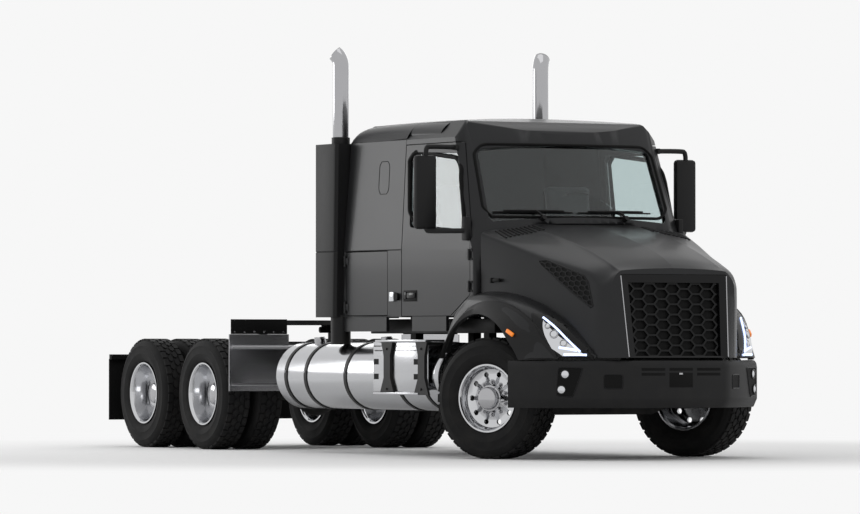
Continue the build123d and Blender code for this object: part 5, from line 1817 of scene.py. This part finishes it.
# ---- inside ---------------------------------------------------------------------------------
@dataclass
class Cabin:
    """Seats and bunk."""

    bench: Bench
    room_floor: float = 1.31
    seat_x: float = -1.18
    seat_y: float = 0.56
    seat_lean: float = math.radians(-8)
    bunk_x: float = -2.722 + 0.06 + 0.38
    cloth_pressure: float = 4
    cloth_frames: int = 20

    def puffed(self, name: str, centre: Vector, size: tuple[float, float, float], turn: float,
               voxel: float, cap: float) -> bmesh.types.BMesh:
        """Blow up a cushion by cloth simulation.

        Args:
            name: the working object's name.
            centre: the cushion's middle.
            size: its length, width and height.
            turn: how far it leans back, in radians.
            voxel: spacing of the remeshed faces.
            cap: how far a point may move.

        Returns:
            The cushion's mesh at its place.
        """
        shape = bmesh.new()
        box(shape, (0, 0, 0), [s - cap * 1.2 for s in size], min(size) * 0.28)
        data = bpy.data.meshes.new(name)
        shape.to_mesh(data)
        shape.free()
        pad = bpy.data.objects.new(name, data)
        bpy.context.scene.collection.objects.link(pad)
        remesh = pad.modifiers.new("remesh", "REMESH")
        remesh.mode = "VOXEL"
        remesh.voxel_size = voxel
        graph = bpy.context.evaluated_depsgraph_get()
        pad.data = bpy.data.meshes.new_from_object(pad.evaluated_get(graph))
        pad.modifiers.clear()
        before = [v.co.copy() for v in pad.data.vertices]
        cloth = pad.modifiers.new("cloth", "CLOTH")
        cloth.settings.use_pressure = True
        cloth.settings.uniform_pressure_force = self.cloth_pressure
        cloth.settings.effector_weights.gravity = 0
        scene = bpy.context.scene
        for step in range(1, self.cloth_frames + 1):
            scene.frame_set(step)
        settled = pad.evaluated_get(bpy.context.evaluated_depsgraph_get()).to_mesh()
        moved = [v.co.copy() for v in settled.vertices]
        scene.frame_set(1)
        pad.modifiers.clear()
        for vert, start, end in zip(pad.data.vertices, before, moved):
            way = end - start
            vert.co = start + way * (min(1.0, cap / way.length) if way.length > 1e-9 else 1.0)
        result = bmesh.new()
        result.from_mesh(pad.data)
        bpy.data.objects.remove(pad)
        lean = Matrix.Translation(centre) @ Matrix.Rotation(turn, 4, "Y")
        bmesh.ops.smooth_vert(
            result, verts=result.verts, factor=0.4, use_axis_x=True, use_axis_y=True, use_axis_z=True,
        )
        bmesh.ops.transform(result, matrix=lean, verts=result.verts)
        return result

    def seats(self) -> None:
        """Make both seats and the bunk's mattress."""
        low = self.room_floor
        shape = self.puffed(
            "seat_pad", ahead(self.seat_x, -self.seat_y, low + 0.325), (0.54, 0.52, 0.14), 0,
            0.010, 0.022,
        )
        back = self.puffed(
            "seat_back", ahead(self.seat_x - 0.25, -self.seat_y, low + 0.76), (0.13, 0.50, 0.80),
            self.seat_lean, 0.012, 0.022,
        )
        join(shape, back)
        for side, hand in SIDES:
            copy = mirrored(shape) if side > 0 else shape.copy()
            replaced = ["seats"] if side > 0 else []
            pad = self.bench.piece(f"seat_cushions_{hand}", copy, Finish.FABRIC, "chassis", replaced)
        shape.free()
        bunk = self.puffed(
            "bunk", ahead(self.bunk_x, 0, low + 0.33), (0.70, 1.9, 0.14), 0, 0.016, 0.02,
        )
        self.bench.piece("bunk_mattress", bunk, Finish.FABRIC, "chassis")
        base = bmesh.new()
        for side, _ in SIDES:
            y = side * self.seat_y
            box(base, ahead(self.seat_x, y, low + 0.13), (0.42, 0.38, 0.26), 0.03)
            box(
                base, ahead(self.seat_x - 0.31, y, low + 0.74), (0.03, 0.42, 0.7), 0.01,
                Matrix.Rotation(self.seat_lean, 3, "Y"),
            )
        box(base, ahead(self.bunk_x, 0, low + 0.13), (0.70, 1.9, 0.255), 0.01)
        self.bench.piece("seat_bases", base, Finish.DASH, "chassis")

    def build(self) -> None:
        """Furnish the cab."""
        self.seats()


# ---- studio ------------------------------------------------------------------
@dataclass
class Studio:
    """Floor, lamps and camera."""

    camera_place: tuple[float, float, float] = (45.429, -25.173, 0.971)
    heading: float = math.radians(28.95)
    pitch: float = math.radians(0.93)
    focal_length: float = 233.8
    white: float = 0.93
    dome: float = 0.72
    floor_size: float = 90
    floor_shade: float = 0.92
    # distances from the origin between which the floor turns white
    floor_fade: tuple[float, float] = (4.8, 9.0)

    def camera(self) -> None:
        """Set the camera at its calibrated place."""
        data = bpy.data.cameras.new("camera")
        data.lens = self.focal_length
        data.sensor_width = 36
        data.clip_end = 300
        camera = bpy.data.objects.new("camera", data)
        bpy.context.scene.collection.objects.link(camera)
        level = math.cos(self.pitch)
        look = Vector((
            -math.cos(self.heading) * level, math.sin(self.heading) * level, math.sin(self.pitch),
        ))
        turn = look.to_track_quat("-Z", "Y").to_matrix().to_4x4()
        camera.matrix_world = Matrix.Translation(self.camera_place) @ turn
        bpy.context.scene.camera = camera

    def lamp(
        self, name: str, place: Sequence[float], aim: Sequence[float], size: tuple[float, float],
        power: float,
    ) -> None:
        """Hang one soft box that points at aim."""
        data = bpy.data.lights.new(name, "AREA")
        data.shape = "RECTANGLE"
        data.size, data.size_y = size
        data.energy = power
        light = bpy.data.objects.new(name, data)
        bpy.context.scene.collection.objects.link(light)
        turn = (Vector(aim) - Vector(place)).to_track_quat("-Z", "Y").to_matrix().to_4x4()
        light.matrix_world = Matrix.Translation(place) @ turn

    def lamps(self) -> None:
        """Hang the soft boxes."""
        self.lamp("key", (-8.0, -6.5, 3.6), (0.8, -1.0, 2.0), (4.0, 3.5), 150)
        self.lamp("overhead", (1.0, 0.0, 8.5), (1.0, 0, 1), (8.0, 4.0), 60)
        self.lamp("back", (-9.0, 5.0, 5.0), (-1, 0, 1.5), (6.0, 3.0), 80)

    def shown(self, graph: Graph) -> bpy.types.NodeSocket:
        """Give 1 for the rays of the camera, of reflections and of glass, and 0 for the rest."""
        path = graph.add("LightPath", {})
        value = path.outputs["Is Camera Ray"]
        for name in ("Is Glossy Ray", "Is Transmission Ray"):
            either = graph.add("Math", {0: value, 1: path.outputs[name]}, operation="MAXIMUM")
            value = either.outputs["Value"]
        return value

    def floor_material(self) -> bpy.types.Material:
        """Make the pale floor, which passes into the surround's white far from the vehicle."""
        material = bpy.data.materials.new("floor")
        material.use_nodes = True
        graph = Graph(material.node_tree)
        shader = graph.tree.nodes["Principled BSDF"]
        graph.feed(shader, {
            "Base Color": (*[self.floor_shade] * 3, 1), "Roughness": 0.9, "Specular IOR Level": 0.1,
        })
        glow = graph.add("Emission", {"Color": (1, 1, 1, 1), "Strength": self.white})
        place = graph.add("TexCoord", {})
        reach = graph.add("VectorMath", {0: place.outputs["Object"]}, operation="LENGTH")
        near, far = self.floor_fade
        fade = graph.add("MapRange", {
            "Value": reach.outputs["Value"], "From Min": near, "From Max": far,
        }, interpolation_type="SMOOTHSTEP")
        share = graph.add(
            "Math", {0: fade.outputs["Result"], 1: self.shown(graph)}, operation="MULTIPLY",
        )
        blend = graph.add("MixShader", {
            "Fac": share.outputs["Value"], 1: shader.outputs["BSDF"], 2: glow.outputs["Emission"],
        })
        graph.feed(graph.tree.nodes["Material Output"], {"Surface": blend.outputs["Shader"]})
        return material

    def backdrop(self) -> None:
        """Lay the floor and set a white surround that metal and glass see too."""
        shape = bmesh.new()
        bmesh.ops.create_grid(shape, x_segments=1, y_segments=1, size=self.floor_size)
        data = bpy.data.meshes.new("floor")
        shape.to_mesh(data)
        shape.free()
        floor = bpy.data.objects.new("floor", data)
        bpy.context.scene.collection.objects.link(floor)
        data.materials.append(self.floor_material())
        world = bpy.data.worlds.new("surround")
        bpy.context.scene.world = world
        world.use_nodes = True
        graph = Graph(world.node_tree)
        strength = graph.add("MapRange", {
            "Value": self.shown(graph), "To Min": self.dome, "To Max": self.white,
        })
        graph.feed(graph.tree.nodes["Background"], {
            "Color": (1, 1, 1, 1), "Strength": strength.outputs["Result"],
        })

    def build(self) -> None:
        """Set up the whole studio."""
        self.backdrop()
        self.lamps()
        self.camera()
        bpy.context.scene.view_settings.view_transform = "Standard"


def main() -> None:
    """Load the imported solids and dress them."""
    logging.basicConfig(level=logging.INFO, format="%(message)s")
    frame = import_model()
    bench = Bench(frame, PaintShop())
    finish_nodes(bench)
    smooth_nodes(bench)
    skin = Skin(frame)
    makers = (
        Wheels(bench), Hubs(bench), Nose(bench, skin), CabTrim(bench, skin), Mirrors(bench),
        Chassis(bench, skin), Cabin(bench), Studio(),
    )
    for maker in makers:
        maker.build()
        LOG.info("built %s", type(maker).__name__)
    for name in bench.made:
        LOG.info("piece %s", name)


if __name__ == "__main__":
    main()
